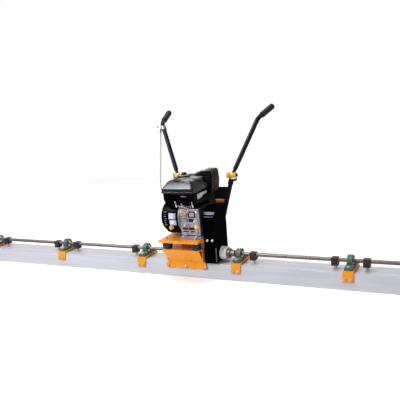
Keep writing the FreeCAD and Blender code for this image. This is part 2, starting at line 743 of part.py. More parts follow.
def make_isolators():
    """Four rubber buffers with waisted sides, and the studs through them."""
    buffers = []
    studs = []
    for index, (x, y) in enumerate(CORNERS):
        tag = f"isolator_{index + 1}"
        body = new_body(tag)
        sketch = sketch_on(body, "XZ_Plane", tag + "_section")
        high = "tray_top - tray_plate"
        middle = f"(base_top + {high}) / 2"
        outline(sketch, (("m_ten", "base_top"), ("isolator_radius", "base_top"),
                         ("isolator_radius", "base_top + 6"),
                         ("isolator_radius - 4", middle),
                         ("isolator_radius", f"{high} - 6"),
                         ("isolator_radius", high), ("m_ten", high)))
        turned(body, sketch, "Z_Axis")
        place(body, f"{x} * isolator_x", f"{y} * isolator_y", "0")
        buffers.append(body)
        studs.append(rod(tag + "_stud", "z", f"{x} * isolator_x", f"{y} * isolator_y",
                         "base_top - base_plate - 12", "m_ten",
                         "tray_top - base_top + base_plate + 24"))
    part("isolators", group("all_isolators", buffers))
    return studs


def make_tray(feet, holes):
    """The engine tray: a plate with a turned-down lip all round and the handles' feet."""
    outside = box("tray_outside", "-tray_half", "-tray_reach", "tray_top - tray_lip",
                  "2 * tray_half", "2 * tray_reach + 30", "tray_lip")
    inside = box("tray_inside", "-tray_half + tray_plate", "-tray_reach + tray_plate",
                 "tray_top - tray_lip", "2 * (tray_half - tray_plate)",
                 "2 * (tray_reach - tray_plate) + 30", "tray_lip - tray_plate")
    folded = cut("tray_folded", outside, inside)
    part("engine_tray", cut("tray_drilled", fuse("tray_welded", folded, *feet), *holes))


# ---------------------------------------------------------------- engine
def tilted(name, distance, length, radius):
    """A cylinder along the engine's sloping bore axis."""
    tilt = math.radians(number("cylinder_tilt"))
    direction = Vector(0, math.cos(tilt), math.sin(tilt))
    start = vector("cylinder_x", "0", "crank_height") + direction * distance
    solid = doc.addObject("Part::Cylinder", name)
    solid.Radius = radius
    solid.Height = length
    solid.Placement = FreeCAD.Placement(start, FreeCAD.Rotation(Vector(0, 0, 1), direction))
    return solid


def tilted_block(name, distance, length, half):
    """A square block along the bore axis."""
    tilt = number("cylinder_tilt")
    solid = doc.addObject("Part::Box", name)
    solid.Length = 2 * half
    solid.Width = length
    solid.Height = 2 * half
    turn = FreeCAD.Rotation(Vector(1, 0, 0), tilt)
    origin = vector("cylinder_x", "0", "crank_height")
    corner = turn.multVec(Vector(-half, distance, -half))
    solid.Placement = FreeCAD.Placement(origin + corner, turn)
    return solid


def make_crankcase(holes):
    """Crankcase and finned barrel in one casting, with feet."""
    shell = box("case_outside", "case_left", "-case_front", "case_bottom",
                "case_right - case_left", "case_front + case_back", "case_top - case_bottom")
    feet = box("case_feet", "case_left - 4", "-foot_reach", "foot_bottom",
               "cover_right - case_left + 4", "2 * foot_reach", "case_bottom - foot_bottom")
    start = number("barrel_start")
    end = number("barrel_end")
    barrel = tilted("barrel_outside", start, end - start, number("barrel"))
    fins = []
    for index in range(4):
        fins.append(tilted_block(f"barrel_fin_{index + 1}", end - 4 - 10 * index, 3,
                                 number("fin_reach")))
    cavity = box("case_inside", "case_left + case_wall", "-case_front + case_wall",
                 "case_bottom + case_wall", "case_right - case_left - case_wall",
                 "case_front + case_back - 2 * case_wall",
                 "case_top - case_bottom - 2 * case_wall")
    bore = tilted("barrel_bore", 20, end, number("bore"))
    journal = rod("case_journal", "x", "case_left - 5", "0", "crank_height",
                  "crank_radius + 0.05", "40")
    filler = rod("case_filler_hole", "y", "filler_x", "-case_front - 5", "filler_z", "9", "20")
    solid = cut("crankcase_whole", fuse("case_blank", shell, feet, barrel, *fins),
                cavity, bore, journal, filler, *holes)
    part("crankcase", solid)


def make_engine_castings():
    """Side cover, cylinder head and rocker cover."""
    cover = cut("side_cover_solid",
                box("side_cover_blank", "case_right", "-case_front", "case_bottom",
                    "cover_right - case_right", "case_front + case_back",
                    "case_top - case_bottom"),
                rod("side_cover_bore", "x", "case_right", "0", "crank_height",
                    "crank_radius + 0.05", "cover_right - case_right"))
    part("side_cover", cover)
    start = number("barrel_end")
    end = number("head_end")
    core = tilted_block("head_core", start, end - start, 42)
    fins = [tilted_block(f"head_fin_{n + 1}", start + 4 + 9 * n, 3, number("fin_reach"))
            for n in range(3)]
    chamber = tilted("head_chamber", start, 6, number("bore") - 4)
    plug_hole = rod("head_plug_hole", "x", "-5", "plug_y", "plug_z", "6", "15")
    part("cylinder_head", cut("head_solid", fuse("head_blank", core, *fins), chamber, plug_hole))
    rocker = cut("rocker_solid",
                 tilted_block("rocker_outside", end, number("rocker_end") - end, 38),
                 tilted_block("rocker_inside", end, number("rocker_end") - end - 3, 35))
    part("rocker_cover", rocker)


def make_crank_train():
    """Crankshaft with flywheel; piston and rod at the top of the stroke."""
    height = "crank_height"
    journal = rod("crank_left", "x", "-104", "0", height, "crank_radius", "134")
    right = rod("crank_right", "x", "74", "0", height, "crank_radius", "46")
    pto = rod("crank_pto", "x", "120", "0", height, "pto_radius", "60")
    pin = rod("crank_pin", "x", "42", "throw * cos(cylinder_tilt)",
              "crank_height + throw * sin(cylinder_tilt)", "pin_radius", "20")
    webs = []
    for name, x in (("left", "30"), ("right", "62")):
        disc = rod(f"crank_web_{name}", "x", x, "0", height, "38", "12")
        webs.append(disc)
    part("crankshaft", fuse("crankshaft_solid", journal, right, pto, pin, *webs))
    piston = cut("piston_solid", tilted("piston_outside", 84, 42, number("bore") - 0.1),
                 tilted("piston_inside", 84, 36, number("bore") - 5))
    rod_shank = tilted_block("rod_shank", 40, 80, 7)
    part("piston", group("piston_and_rod", [piston, rod_shank]))
    wheel = cut("flywheel_solid",
                rod("flywheel_disc", "x", "-94", "0", height, "flywheel_radius", "26"),
                rod("flywheel_bore", "x", "-94", "0", height, "crank_radius", "26"),
                cut("flywheel_hollow", rod("flywheel_dish", "x", "-82", "0", height,
                                           "flywheel_radius - 8", "14"),
                    rod("flywheel_boss", "x", "-82", "0", height, "24", "14")))
    part("flywheel", wheel)


def make_fan_housing():
    """Fan housing with a straight upper part, and the recoil starter's domed cover."""
    half = "shroud_half"
    width = "shroud_right - shroud_left"

    def shell(name, inset, start, length):
        radius = f"shroud_radius - {inset}"
        lower = rod(name + "_round", "x", start, "0", "crank_height", radius, length)
        upper = box(name + "_upper", start, f"-{half} + {inset}", "crank_height - 40", length,
                    f"2 * ({half} - {inset})", f"shroud_top - crank_height + 40 - {inset}")
        return fuse(name, lower, upper)

    outside = shell("shroud_outside", "0", "shroud_left", width)
    inside = shell("shroud_inside", "shroud_wall", "shroud_left + shroud_wall",
                   "shroud_right - shroud_left - 2 * shroud_wall")
    eye = rod("shroud_eye", "x", "shroud_left - 2", "0", "crank_height", "70", "8")
    back_eye = rod("shroud_back_eye", "x", "shroud_right - 6", "0", "crank_height", "16", "10")
    hollow_shell = cut("fan_housing_shell", outside, inside, eye, back_eye)
    boss = cut("switch_boss",
               rod("switch_boss_blank", "y", "switch_x", "-97", "switch_z", "13", "17"),
               rod("switch_boss_trim", "x", "shroud_left", "0", "crank_height",
                   "shroud_radius - 1", width))
    shelf = box("control_shelf", "control_x - 22", "shroud_half", "408", "36", "34", "3")
    stop = box("control_stop", "control_x - 22", "shroud_half + 8", "411", "3", "20", "24")
    part("fan_housing", fuse("fan_housing_solid", hollow_shell, boss, shelf, stop))
    cover = rod("recoil_blank", "x", "recoil_left", "0", "crank_height", "recoil_radius",
                "shroud_left - recoil_left")
    hollow = rod("recoil_hollow", "x", "recoil_left + 3", "0", "crank_height",
                 "recoil_radius - 3", "shroud_left - recoil_left")
    slots = []
    centre = vector("0", "0", "crank_height")
    corner = FreeCAD.Placement(vector("recoil_left - 5", "-6", "40"), FreeCAD.Rotation())
    for index in range(8):
        slot = doc.addObject("Part::Box", f"recoil_slot_{index + 1}")
        slot.Length = 12
        slot.Width = 12
        slot.Height = 34
        turn = FreeCAD.Rotation(Vector(1, 0, 0), 45 * index)
        slot.Placement = FreeCAD.Placement(centre, turn).multiply(corner)
        slots.append(slot)
    rope_hole = rod("recoil_rope_hole", "y", "recoil_left + 12", "60", "crank_height", "6", "40")
    part("recoil_cover", cut("recoil_solid", cover, hollow, rope_hole, *slots))
    stem = rod("grip_stem", "y", "recoil_left + 12", "recoil_radius + 1", "crank_height",
               "4", "10")
    bar = box("grip_bar", "recoil_left + 6", "recoil_radius + 9", "crank_height - 22",
              "12", "12", "44")
    part("starter_grip", fuse("starter_grip_solid", stem, bar))


def make_tank():
    """Fuel tank with rounded edges, its cradle and studs, and the cap."""
    body = new_body("fuel_tank_body")
    sketch = sketch_on(body, "XY_Plane", "tank_outline", "(tank_bottom + tank_top) / 2")
    outline(sketch, (("tank_left", "-tank_front"), ("tank_right", "-tank_front"),
                     ("tank_right", "tank_back"), ("tank_left", "tank_back")))
    block = pad(body, sketch, "tank_top - tank_bottom")
    doc.recompute()
    corners = rounded(body, block, upright_edges(block.Shape, Vector(0, 0, 1)), "22")
    doc.recompute()
    top = number("tank_top")
    rim = [f"Edge{n}" for n, edge in enumerate(corners.Shape.Edges, 1)
           if all(abs(v.Point.z - top) < 0.01 for v in edge.Vertexes)]
    rounded(body, corners, rim, "18")
    hollow = box("tank_inside", "tank_left + 14", "-tank_front + 14",
                 "tank_bottom + tank_wall", "tank_right - tank_left - 28",
                 "tank_front + tank_back - 28", "tank_top - tank_bottom - 2 * tank_wall - 8")
    neck = rod("tank_neck", "z", "-14", "30", "tank_top - 2", "21", "8")
    neck_hole = rod("tank_neck_hole", "z", "-14", "30", "tank_top - 20", "18", "40")
    part("fuel_tank", cut("tank_solid", fuse("tank_blank", body, neck), hollow, neck_hole))
    cap = cut("cap_solid",
              rod("cap_blank", "z", "-14", "30", "tank_top + 0.5", "27", "17"),
              rod("cap_inside", "z", "-14", "30", "tank_top - 1", "21.3", "11"))
    part("fuel_cap", cap)
    outside = box("cradle_outside", "shroud_right + 3", "-cradle_front", "cradle_bottom",
                  "tank_right - shroud_right - 8", "cradle_front + cradle_back",
                  "tank_bottom - cradle_bottom")
    inside = box("cradle_inside", "shroud_right + 6", "-cradle_front + 3", "cradle_bottom",
                 "tank_right - shroud_right - 14", "cradle_front + cradle_back - 6",
                 "tank_bottom - cradle_bottom - 3")
    studs = []
    for index, (x, y) in enumerate((("6", "-78"), ("92", "-78"), ("6", "44"), ("92", "44"))):
        studs.append(rod(f"cradle_stud_{index + 1}", "z", x, y, "case_top", "5",
                         "tank_bottom - case_top - 3"))
    part("tank_cradle", group("cradle_and_studs", [cut("cradle", outside, inside)] + studs))


def make_intake_and_exhaust():
    """Carburettor, its levers, air cleaner, muffler and heat shield, and the plug."""
    body = fuse("carburettor_solid",
                box("carburettor_block", "-36", "92", "384", "26", "44", "40"),
                rod("carburettor_bowl", "z", "-23", "114", "356", "13", "30"),
                rod("carburettor_throat", "x", "-10", "114", "404", "12", "6"))
    part("carburettor", body)
    for label, z, reach in (("choke_lever", "412", 24), ("fuel_valve_lever", "392", 18)):
        arm = fuse(label + "_solid",
                   rod(label + "_boss", "x", "-46", "104", z, "6", "9.7"),
                   box(label + "_arm", "-44", "104", f"{z} - 4", "5", f"{reach} + 8", "8"))
        part(label, arm)
    part("governor_arm", fuse("governor_solid",
                              rod("governor_boss", "z", "control_x", "control_y", "411.4",
                                  "7", "8"),
                              box("governor_blade", "control_x - 3", "control_y - 2", "418",
                                  "6", "24", "4")))
    cleaner = cut("air_cleaner_solid",
                  box("air_cleaner_outside", "-98", "100", "446", "94", "92", "88"),
                  box("air_cleaner_inside", "-94", "104", "450", "86", "84", "80"))
    part("air_cleaner", cleaner)
    muffler = cut("muffler_solid",
                  box("muffler_outside", "muffler_left", "muffler_front", "muffler_bottom",
                      "muffler_right - muffler_left", "muffler_back - muffler_front",
                      "muffler_top - muffler_bottom"),
                  box("muffler_inside", "muffler_left + 2", "muffler_front + 2",
                      "muffler_bottom + 2", "muffler_right - muffler_left - 4",
                      "muffler_back - muffler_front - 4", "muffler_top - muffler_bottom - 4"))
    pipe = rod("exhaust_pipe", "z", "70", "136", "447", "12", "27")
    part("muffler", fuse("muffler_whole", muffler, pipe))
    gap = "shield_gap"
    skin = "shield_wall"
    outside = box("shield_outside", f"muffler_left - {gap} - {skin}",
                  f"muffler_front - {gap} - {skin}", "muffler_bottom + 2",
                  f"muffler_right - muffler_left + 2 * ({gap} + {skin})",
                  f"muffler_back - muffler_front + 2 * ({gap} + {skin})",
                  f"muffler_top - muffler_bottom + {gap} + {skin}")
    inside = box("shield_inside", f"muffler_left - {gap}", f"muffler_front - {gap}",
                 "muffler_bottom", f"muffler_right - muffler_left + 2 * {gap}",
                 f"muffler_back - muffler_front + 2 * {gap}",
                 f"muffler_top - muffler_bottom + {gap}")
    slots = []
    for index in range(6):
        slots.append(box(f"shield_slot_{index + 1}", f"muffler_left + 8 + {index} * 16",
                         "muffler_front - 20", "muffler_bottom + 24", "7",
                         "muffler_back - muffler_front + 40", "46"))
    tabs = [box(f"shield_tab_{n}", "muffler_left - 5", y, "muffler_bottom + 8",
                "5", "10", "10") for n, y in ((1, "muffler_front + 10"), (2, "muffler_back - 20"))]
    part("muffler_guard", fuse("shield_whole", cut("shield", outside, inside, *slots), *tabs))
    plug = fuse("spark_plug_solid",
                rod("plug_body", "x", "-24", "plug_y", "plug_z", "6", "34"),
                rod("plug_boot", "x", "-52", "plug_y", "plug_z", "9", "28"))
    part("spark_plug", plug)


def make_service_parts():
    """Oil filler cap and engine switch."""
    cap = fuse("oil_cap_solid",
               rod("oil_cap_head", "y", "filler_x", "-case_front - 13.4", "filler_z", "14", "13"),
               rod("oil_cap_thread", "y", "filler_x", "-case_front - 1", "filler_z", "8.7", "9"))
    part("oil_filler_cap", cap)
    switch = fuse("switch_solid",
                  rod("switch_disc", "y", "switch_x", "-105", "switch_z", "12", "7.6"),
                  box("switch_bar", "switch_x - 3", "-113", "switch_z - 11", "6", "9", "22"))
    part("engine_switch", switch)


# ---------------------------------------------------------------- handles
def on_lower_tube(sign, height):
    """The point of a lower handle tube at a height."""
    foot = vector("foot_x", "foot_y", "foot_z")
    pivot = vector("pivot_x", "pivot_y", "pivot_z")
    share = (height - foot.z) / (pivot.z - foot.z)
    point = foot + (pivot - foot) * share
    return Vector(sign * point.x, point.y, point.z)


def make_lower_handles():
    """Two leaning tubes on feet, a cross bar, the back panel and the pivot forks."""
    tubes = []
    feet = []
    forks = []
    bolts = []
    tube = number("tube_radius")
    for side, sign in SIDES:
        low = on_lower_tube(sign, number("foot_z"))
        high = on_lower_tube(sign, number("pivot_z") - 38)
        tubes.append(straight_bar(f"lower_tube_{side}", low, high, tube, tube - 2))
        feet.append(box(f"handle_foot_{side}", f"{sign} * (foot_x - 6) - 16", "foot_y - 25",
                        "tray_top - 2", "32", "12", "42"))
        pivot = vector(f"{sign} * pivot_x", "pivot_y", "pivot_z")
        direction = (pivot - low).normalize()
        collar = doc.addObject("Part::Cylinder", f"pivot_collar_{side}")
        collar.Radius = tube + 2.7
        collar.Height = 25
        start = high - direction * 14
        collar.Placement = FreeCAD.Placement(start, FreeCAD.Rotation(Vector(0, 0, 1), direction))
        socket = doc.addObject("Part::Cylinder", f"pivot_socket_{side}")
        socket.Radius = tube
        socket.Height = 14
        socket.Placement = collar.Placement
        ears = []
        for name, offset in (("inner", -17.5), ("outer", 19.3)):
            x = pivot.x + (offset if sign > 0 else -offset - 5)
            ear = doc.addObject("Part::Box", f"pivot_ear_{side}_{name}")
            ear.Length = 5
            ear.Width = 26
            ear.Height = 46
            ear.Placement.Base = Vector(x, pivot.y - 17, pivot.z - 32)
            ears.append(ear)
        bridge = doc.addObject("Part::Box", f"pivot_bridge_{side}")
        bridge.Length = 41.8
        bridge.Width = 26
        bridge.Height = 9
        bridge_x = pivot.x + (-17.5 if sign > 0 else -24.3)
        bridge.Placement.Base = Vector(bridge_x, pivot.y - 17, pivot.z - 32)
        pin_start = Vector(pivot.x + sign * 24.3, pivot.y, pivot.z)
        pin, shank = bolt(f"pivot_bolt_{side}", pin_start, Vector(-sign, 0, 0), 5, 56)
        sleeve = cut(f"pivot_sleeve_{side}", collar, socket)
        drilled = [cut(f"pivot_ear_{side}_{n}", ear, shank) for n, ear in enumerate(ears)]
        forks.append(fuse(f"pivot_fork_{side}", sleeve, bridge, *drilled))
        bolts.append(pin)
        knob_blank = rod(f"knob_blank_{side}", "x",
                         f"{sign} * (pivot_x - 18 - knob_depth / 2) - knob_depth / 2",
                         "pivot_y", "pivot_z", "knob_radius", "knob_depth")
        notches = []
        for index in range(5):
            angle = 72 * index
            notches.append(rod(f"knob_notch_{side}_{index}", "x",
                               f"{sign} * (pivot_x - 18 - knob_depth / 2) - knob_depth",
                               f"pivot_y + (knob_radius + 3) * cos({angle})",
                               f"pivot_z + (knob_radius + 3) * sin({angle})", "5.5",
                               "2 * knob_depth"))
        knob_bore = rod(f"knob_bore_{side}", "x", f"{sign} * pivot_x - 60", "pivot_y",
                        "pivot_z", "m_ten + 0.05", "120")
        part(f"knob_{side}", cut(f"knob_star_{side}", knob_blank, knob_bore, *notches))
    part("lower_handle_tubes", group("both_lower_tubes", tubes))
    part("handle_pivots", group("both_pivots", forks + bolts))
    left = on_lower_tube(-1, number("crossbar_z"))
    right = on_lower_tube(1, number("crossbar_z"))
    bar = straight_bar("crossbar_round", left + Vector(tube + 3, 0, 0),
                       right - Vector(tube + 3, 0, 0), 10, 8)
    return feet, bar


def make_panel():
    """The back panel that ties the lower tubes together."""
    inset = Vector(number("tube_radius") + 1, 0, 0)
    low = number("panel_low")
    high = number("panel_high")
    corners = [on_lower_tube(-1, low) + inset, on_lower_tube(1, low) - inset,
               on_lower_tube(1, high) - inset, on_lower_tube(-1, high) + inset]
    face = Part.Face(Part.makePolygon(corners + corners[:1]))
    normal = face.normalAt(0, 0)
    back = normal if normal.y > 0 else normal * -1
    shift = back * 12
    face.translate(shift)
    return feature("panel_plate", face.extrude(back * 3))


def handle_point(name, sign):
    return vector(f"{sign} * {name}_x", f"{name}_y", f"{name}_z")


def make_upper_handles():
    """Bent upper tubes that pivot at their flattened lower ends, with rubber grips."""
    for side, sign in SIDES:
        pivot = handle_point("pivot", sign)
        bend = handle_point("bend", sign)
        tip = handle_point("tip", sign)
        up = (bend - pivot).normalize()
        outside = tube_along(f"upper_tube_outside_{side}", [pivot + up * 36, bend, tip],
                             number("tube_radius"), number("tube_bend"))
        inside = tube_along(f"upper_tube_inside_{side}", [pivot + up * 46, bend, tip],
                            number("tube_radius") - 2, number("tube_bend"))
        tube = cut(f"upper_tube_{side}", outside, inside)
        boss = doc.addObject("Part::Cylinder", f"upper_boss_{side}")
        boss.Radius = 13
        boss.Height = 31.2
        boss_start = pivot - Vector(12.2 if sign > 0 else 19, 0, 0)
        boss.Placement = FreeCAD.Placement(boss_start, TURNS["x"])
        neck = doc.addObject("Part::Cylinder", f"upper_neck_{side}")
        neck.Radius = 9.5
        neck.Height = 40
        neck.Placement = FreeCAD.Placement(pivot, FreeCAD.Rotation(Vector(0, 0, 1), up))
        eye = doc.addObject("Part::Cylinder", f"upper_eye_{side}")
        eye.Radius = 5.05
        eye.Height = 60
        eye.Placement = FreeCAD.Placement(pivot - Vector(30, 0, 0), TURNS["x"])
        solid = fuse(f"upper_blank_{side}", tube, boss, neck)
        part(f"upper_handle_{side}", cut(f"upper_handle_solid_{side}", solid, eye))
        back = (bend - tip).normalize()
        start = tip + back * number("grip_length - 6")
        outer = straight_bar(f"grip_outer_{side}", start, tip - back * 6,
                             number("grip_radius"))
        inner = straight_bar(f"grip_inner_{side}", start, tip, number("tube_radius"))
        part(f"grip_{side}", cut(f"grip_sleeve_{side}", outer, inner))


def make_throttle():
    """Throttle lever with its clamp below the left bend, and the cable to the engine."""
    pivot = handle_point("pivot", -1)
    bend = handle_point("bend", -1)
    up = (bend - pivot).normalize()
    seat = bend - up * 33
    tube = number("tube_radius")
    turn = FreeCAD.Rotation(Vector(0, 0, 1), up)
    outer = doc.addObject("Part::Cylinder", "lever_clamp_outer")
    outer.Radius = tube + 4
    outer.Height = 22
    outer.Placement = FreeCAD.Placement(seat - up * 11, turn)
    inner = doc.addObject("Part::Cylinder", "lever_clamp_inner")
    inner.Radius = tube
    inner.Height = 22
    inner.Placement = outer.Placement
    outward = Vector(-1, 0, 0)
    outward = (outward - up * outward.dot(up)).normalize()
    forward = up.cross(outward).normalize()
    if forward.y > 0:
        forward = forward * -1
    hub = seat + outward * (tube + 14)
    block = fuse("lever_block",
                 straight_bar("lever_block_post", hub - forward * 7, hub + forward * 7, 8),
                 straight_bar("lever_block_bridge", seat + outward * tube, hub, 6))
    route = [Vector(-332, 346, 760), Vector(-281, 232, 619), Vector(-238, 128, 484),
             Vector(-216, 104, 446), Vector(-176, 92, 425), Vector(-130, 84, 421),
             Vector(-76.4, 80, 424)]
    pull = (route[1] - route[0]).normalize()
    stop = straight_bar("cable_stop", route[0], route[0] - pull * 18, 5)
    stay = straight_bar("cable_stop_arm", hub, route[0] - pull * 14, 3)
    blank = fuse("clamp_blank", outer, block, stay, stop)
    part("throttle_clamp", cut("clamp_solid", blank, inner))
    boss_start = hub + forward * 7.4
    boss = straight_bar("lever_boss", boss_start, boss_start + forward * 8, 8)
    arm_start = boss_start + forward * 4
    reach = outward * 6 + up * 26
    tip = straight_bar("lever_tip", arm_start + reach * 0.78, arm_start + reach, 5)
    arm = straight_bar("lever_arm", arm_start, arm_start + reach * 0.9, 3.4)
    part("throttle_lever", fuse("lever_solid", boss, arm, tip))
    part("throttle_cable", tube_along("cable_tube", route, number("cable_radius")))


# ---------------------------------------------------------------- assembly
def engine_bolts():
    """Four bolts that hold the engine's feet to the tray."""
    bolts = []
    shanks = []
    for index, (x, y) in enumerate(CORNERS):
        top = vector(f"engine_centre + {x} * engine_bolt_x", f"{y} * engine_bolt_y",
                     "case_bottom")
        solid, shank = bolt(f"engine_bolt_{index + 1}", top, Vector(0, 0, -1),
                            number("m_eight"), number("case_bottom - tray_top + tray_plate"))
        bolts.append(solid)
        shanks.append(shank)
    return bolts, shanks


def guard_bolts():
    """Two bolts through the guard's front face."""
    bolts = []
    rise = number("guard_shoulder - guard_bottom")
    lean = number("guard_lean")
    inward = Vector(0, rise, -lean)
    height = 216
    depth = lean * (height - number("guard_bottom")) / rise - number("guard_half")
    for name, x in (("left", 148), ("right", 178)):
        solid, shank = bolt(f"guard_bolt_{name}", Vector(x, depth, height), inward,
                            number("m_eight"), 2.4)
        bolts.append((solid, shank))
    return bolts


def assemble():
    """Build every sub-part in an order that lets holes follow their bolts."""
    bolts, beam_holes = make_stations()
    base_solids, base_bolts, base_shanks = make_base()
    make_beam(beam_holes + base_shanks)
    make_shaft()
    make_drive()
    make_guard()
    studs = make_isolators()
    stand_bolts, stand_shanks = engine_bolts()
    part("base_frame", cut("base_drilled", fuse("base_whole", *base_solids), *studs))
    make_crankcase(stand_shanks)
    make_engine_castings()
    make_crank_train()
    make_fan_housing()
    make_tank()
    make_intake_and_exhaust()
    make_service_parts()
    feet, crossbar = make_lower_handles()
    part("handle_crossbar", crossbar)
    make_tray(feet, studs + stand_shanks)
    part("handle_panel", make_panel())
    make_upper_handles()
    make_throttle()
    cover = PARTS["guard_cover"]
    front_bolts = guard_bolts()
    drilled = cut("guard_cover_drilled", cover, *[shank for solid, shank in front_bolts])
    cover.Label = "guard_cover_blank"
    part("guard_cover", drilled)
    bolts += base_bolts + stand_bolts + [solid for solid, shank in front_bolts] + studs
    part("hex_bolts", group("all_bolts", bolts))


def check_and_write():
    """Refuse a failed object or an invalid shape, then write every sub-part."""
    doc.recompute()
    for thing in doc.Objects:
        if "Invalid" in thing.State or "Error" in thing.State:
            raise ValueError(f"{thing.Name} is {thing.State}: {thing.getStatusString()}")
    for label, thing in PARTS.items():
        if thing.Shape.isNull() or not thing.Shape.isValid():
            raise ValueError(f"{label} has a bad shape")
    os.makedirs("parts", exist_ok=True)
    for label, thing in PARTS.items():
        thing.Shape.exportStep(f"parts/{label}.step")
        box_size = thing.Shape.BoundBox
        print(label, len(thing.Shape.Solids), "solids",
              [round(v, 1) for v in (box_size.XMin, box_size.XMax, box_size.YMin,
                                     box_size.YMax, box_size.ZMin, box_size.ZMax)])
    print(len(PARTS), "sub-parts")


assemble()
check_and_write()
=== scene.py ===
"""Looks of a power screed: materials, fine detail, throttle cable, floor, lights and camera."""
import json
import math

import bmesh
import bpy
from mathutils import Matrix, Vector


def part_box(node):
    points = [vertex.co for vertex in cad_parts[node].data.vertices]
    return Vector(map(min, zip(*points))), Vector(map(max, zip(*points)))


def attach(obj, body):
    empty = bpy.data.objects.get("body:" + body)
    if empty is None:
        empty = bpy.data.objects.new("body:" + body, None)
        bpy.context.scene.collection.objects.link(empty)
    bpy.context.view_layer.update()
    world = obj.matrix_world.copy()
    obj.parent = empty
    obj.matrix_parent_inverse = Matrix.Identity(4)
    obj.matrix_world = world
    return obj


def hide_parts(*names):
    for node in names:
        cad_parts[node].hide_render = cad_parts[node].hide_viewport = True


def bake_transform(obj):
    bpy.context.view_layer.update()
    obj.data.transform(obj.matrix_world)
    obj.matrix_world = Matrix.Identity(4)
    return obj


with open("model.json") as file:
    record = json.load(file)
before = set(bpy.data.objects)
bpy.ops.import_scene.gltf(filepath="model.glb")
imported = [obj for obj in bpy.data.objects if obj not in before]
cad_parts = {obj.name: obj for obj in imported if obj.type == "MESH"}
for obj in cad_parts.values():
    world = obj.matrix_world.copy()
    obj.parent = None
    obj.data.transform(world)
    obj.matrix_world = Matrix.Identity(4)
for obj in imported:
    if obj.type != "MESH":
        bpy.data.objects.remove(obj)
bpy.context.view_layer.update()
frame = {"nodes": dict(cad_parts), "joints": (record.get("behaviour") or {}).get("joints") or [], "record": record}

COLLECTION = bpy.context.scene.collection
SIDES = (("left", -1), ("right", 1))
MM = 0.001


def mm(*values):
    """A point given in millimetres, as a vector in metres."""
    return Vector(values) * MM


def joint_place(name):
    """Where a joint of the frame sits at rest, in millimetres."""
    joint = next(entry for entry in frame["joints"] if entry["name"] == name)
    return [round(value / MM, 3) for value in joint["pos_m"]]


def node_box(node):
    """Lowest and highest corners of a CAD node, in millimetres."""
    return [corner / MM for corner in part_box(node)]


# Places in millimetres that several pieces share
SHAFT_HEIGHT = joint_place("shaft_spin")[2]
CRANK_HEIGHT = joint_place("crank_spin")[2]
PIVOT_X, PIVOT_Y, PIVOT_Z = joint_place("right_handle_tilt")
FUEL_CAP_X, FUEL_CAP_Y = joint_place("fuel_cap_turn")[:2]
OIL_CAP_X, _, OIL_CAP_Z = joint_place("oil_cap_turn")
BLOCK_FRONT = -84
SHROUD_RADIUS = 98


# ---------------------------------------------------------------- camera
CAMERA_PLACE = mm(1625.3, -2799.5, 1111.2)
CAMERA_YAW, CAMERA_PITCH, CAMERA_ROLL = (math.radians(a) for a in (-28.786, 12.166, 5.726))
LENS = 53.66


def make_camera():
    """Camera at the reference viewing angle."""
    forward = Vector((math.sin(CAMERA_YAW) * math.cos(CAMERA_PITCH),
                      math.cos(CAMERA_YAW) * math.cos(CAMERA_PITCH), -math.sin(CAMERA_PITCH)))
    right = Vector((math.cos(CAMERA_YAW), -math.sin(CAMERA_YAW), 0))
    down = forward.cross(right)
    across = math.cos(CAMERA_ROLL) * right + math.sin(CAMERA_ROLL) * down
    drop = -math.sin(CAMERA_ROLL) * right + math.cos(CAMERA_ROLL) * down
    data = bpy.data.cameras.new("camera")
    data.lens = LENS
    data.sensor_width = 36
    data.clip_end = 60
    camera = bpy.data.objects.new("camera", data)
    COLLECTION.objects.link(camera)
    turn = Matrix((across, -drop, -forward)).transposed().to_4x4()
    camera.matrix_world = Matrix.Translation(CAMERA_PLACE) @ turn
    bpy.context.scene.camera = camera


make_camera()


# ---------------------------------------------------------------- materials
BLACK = (0.0010, 0.0010, 0.0015)
# Tone of dust on lying faces; on the tank's top the same tone is painted sheen.
DUST_AND_SHEEN = (0.45, 0.43, 0.40)


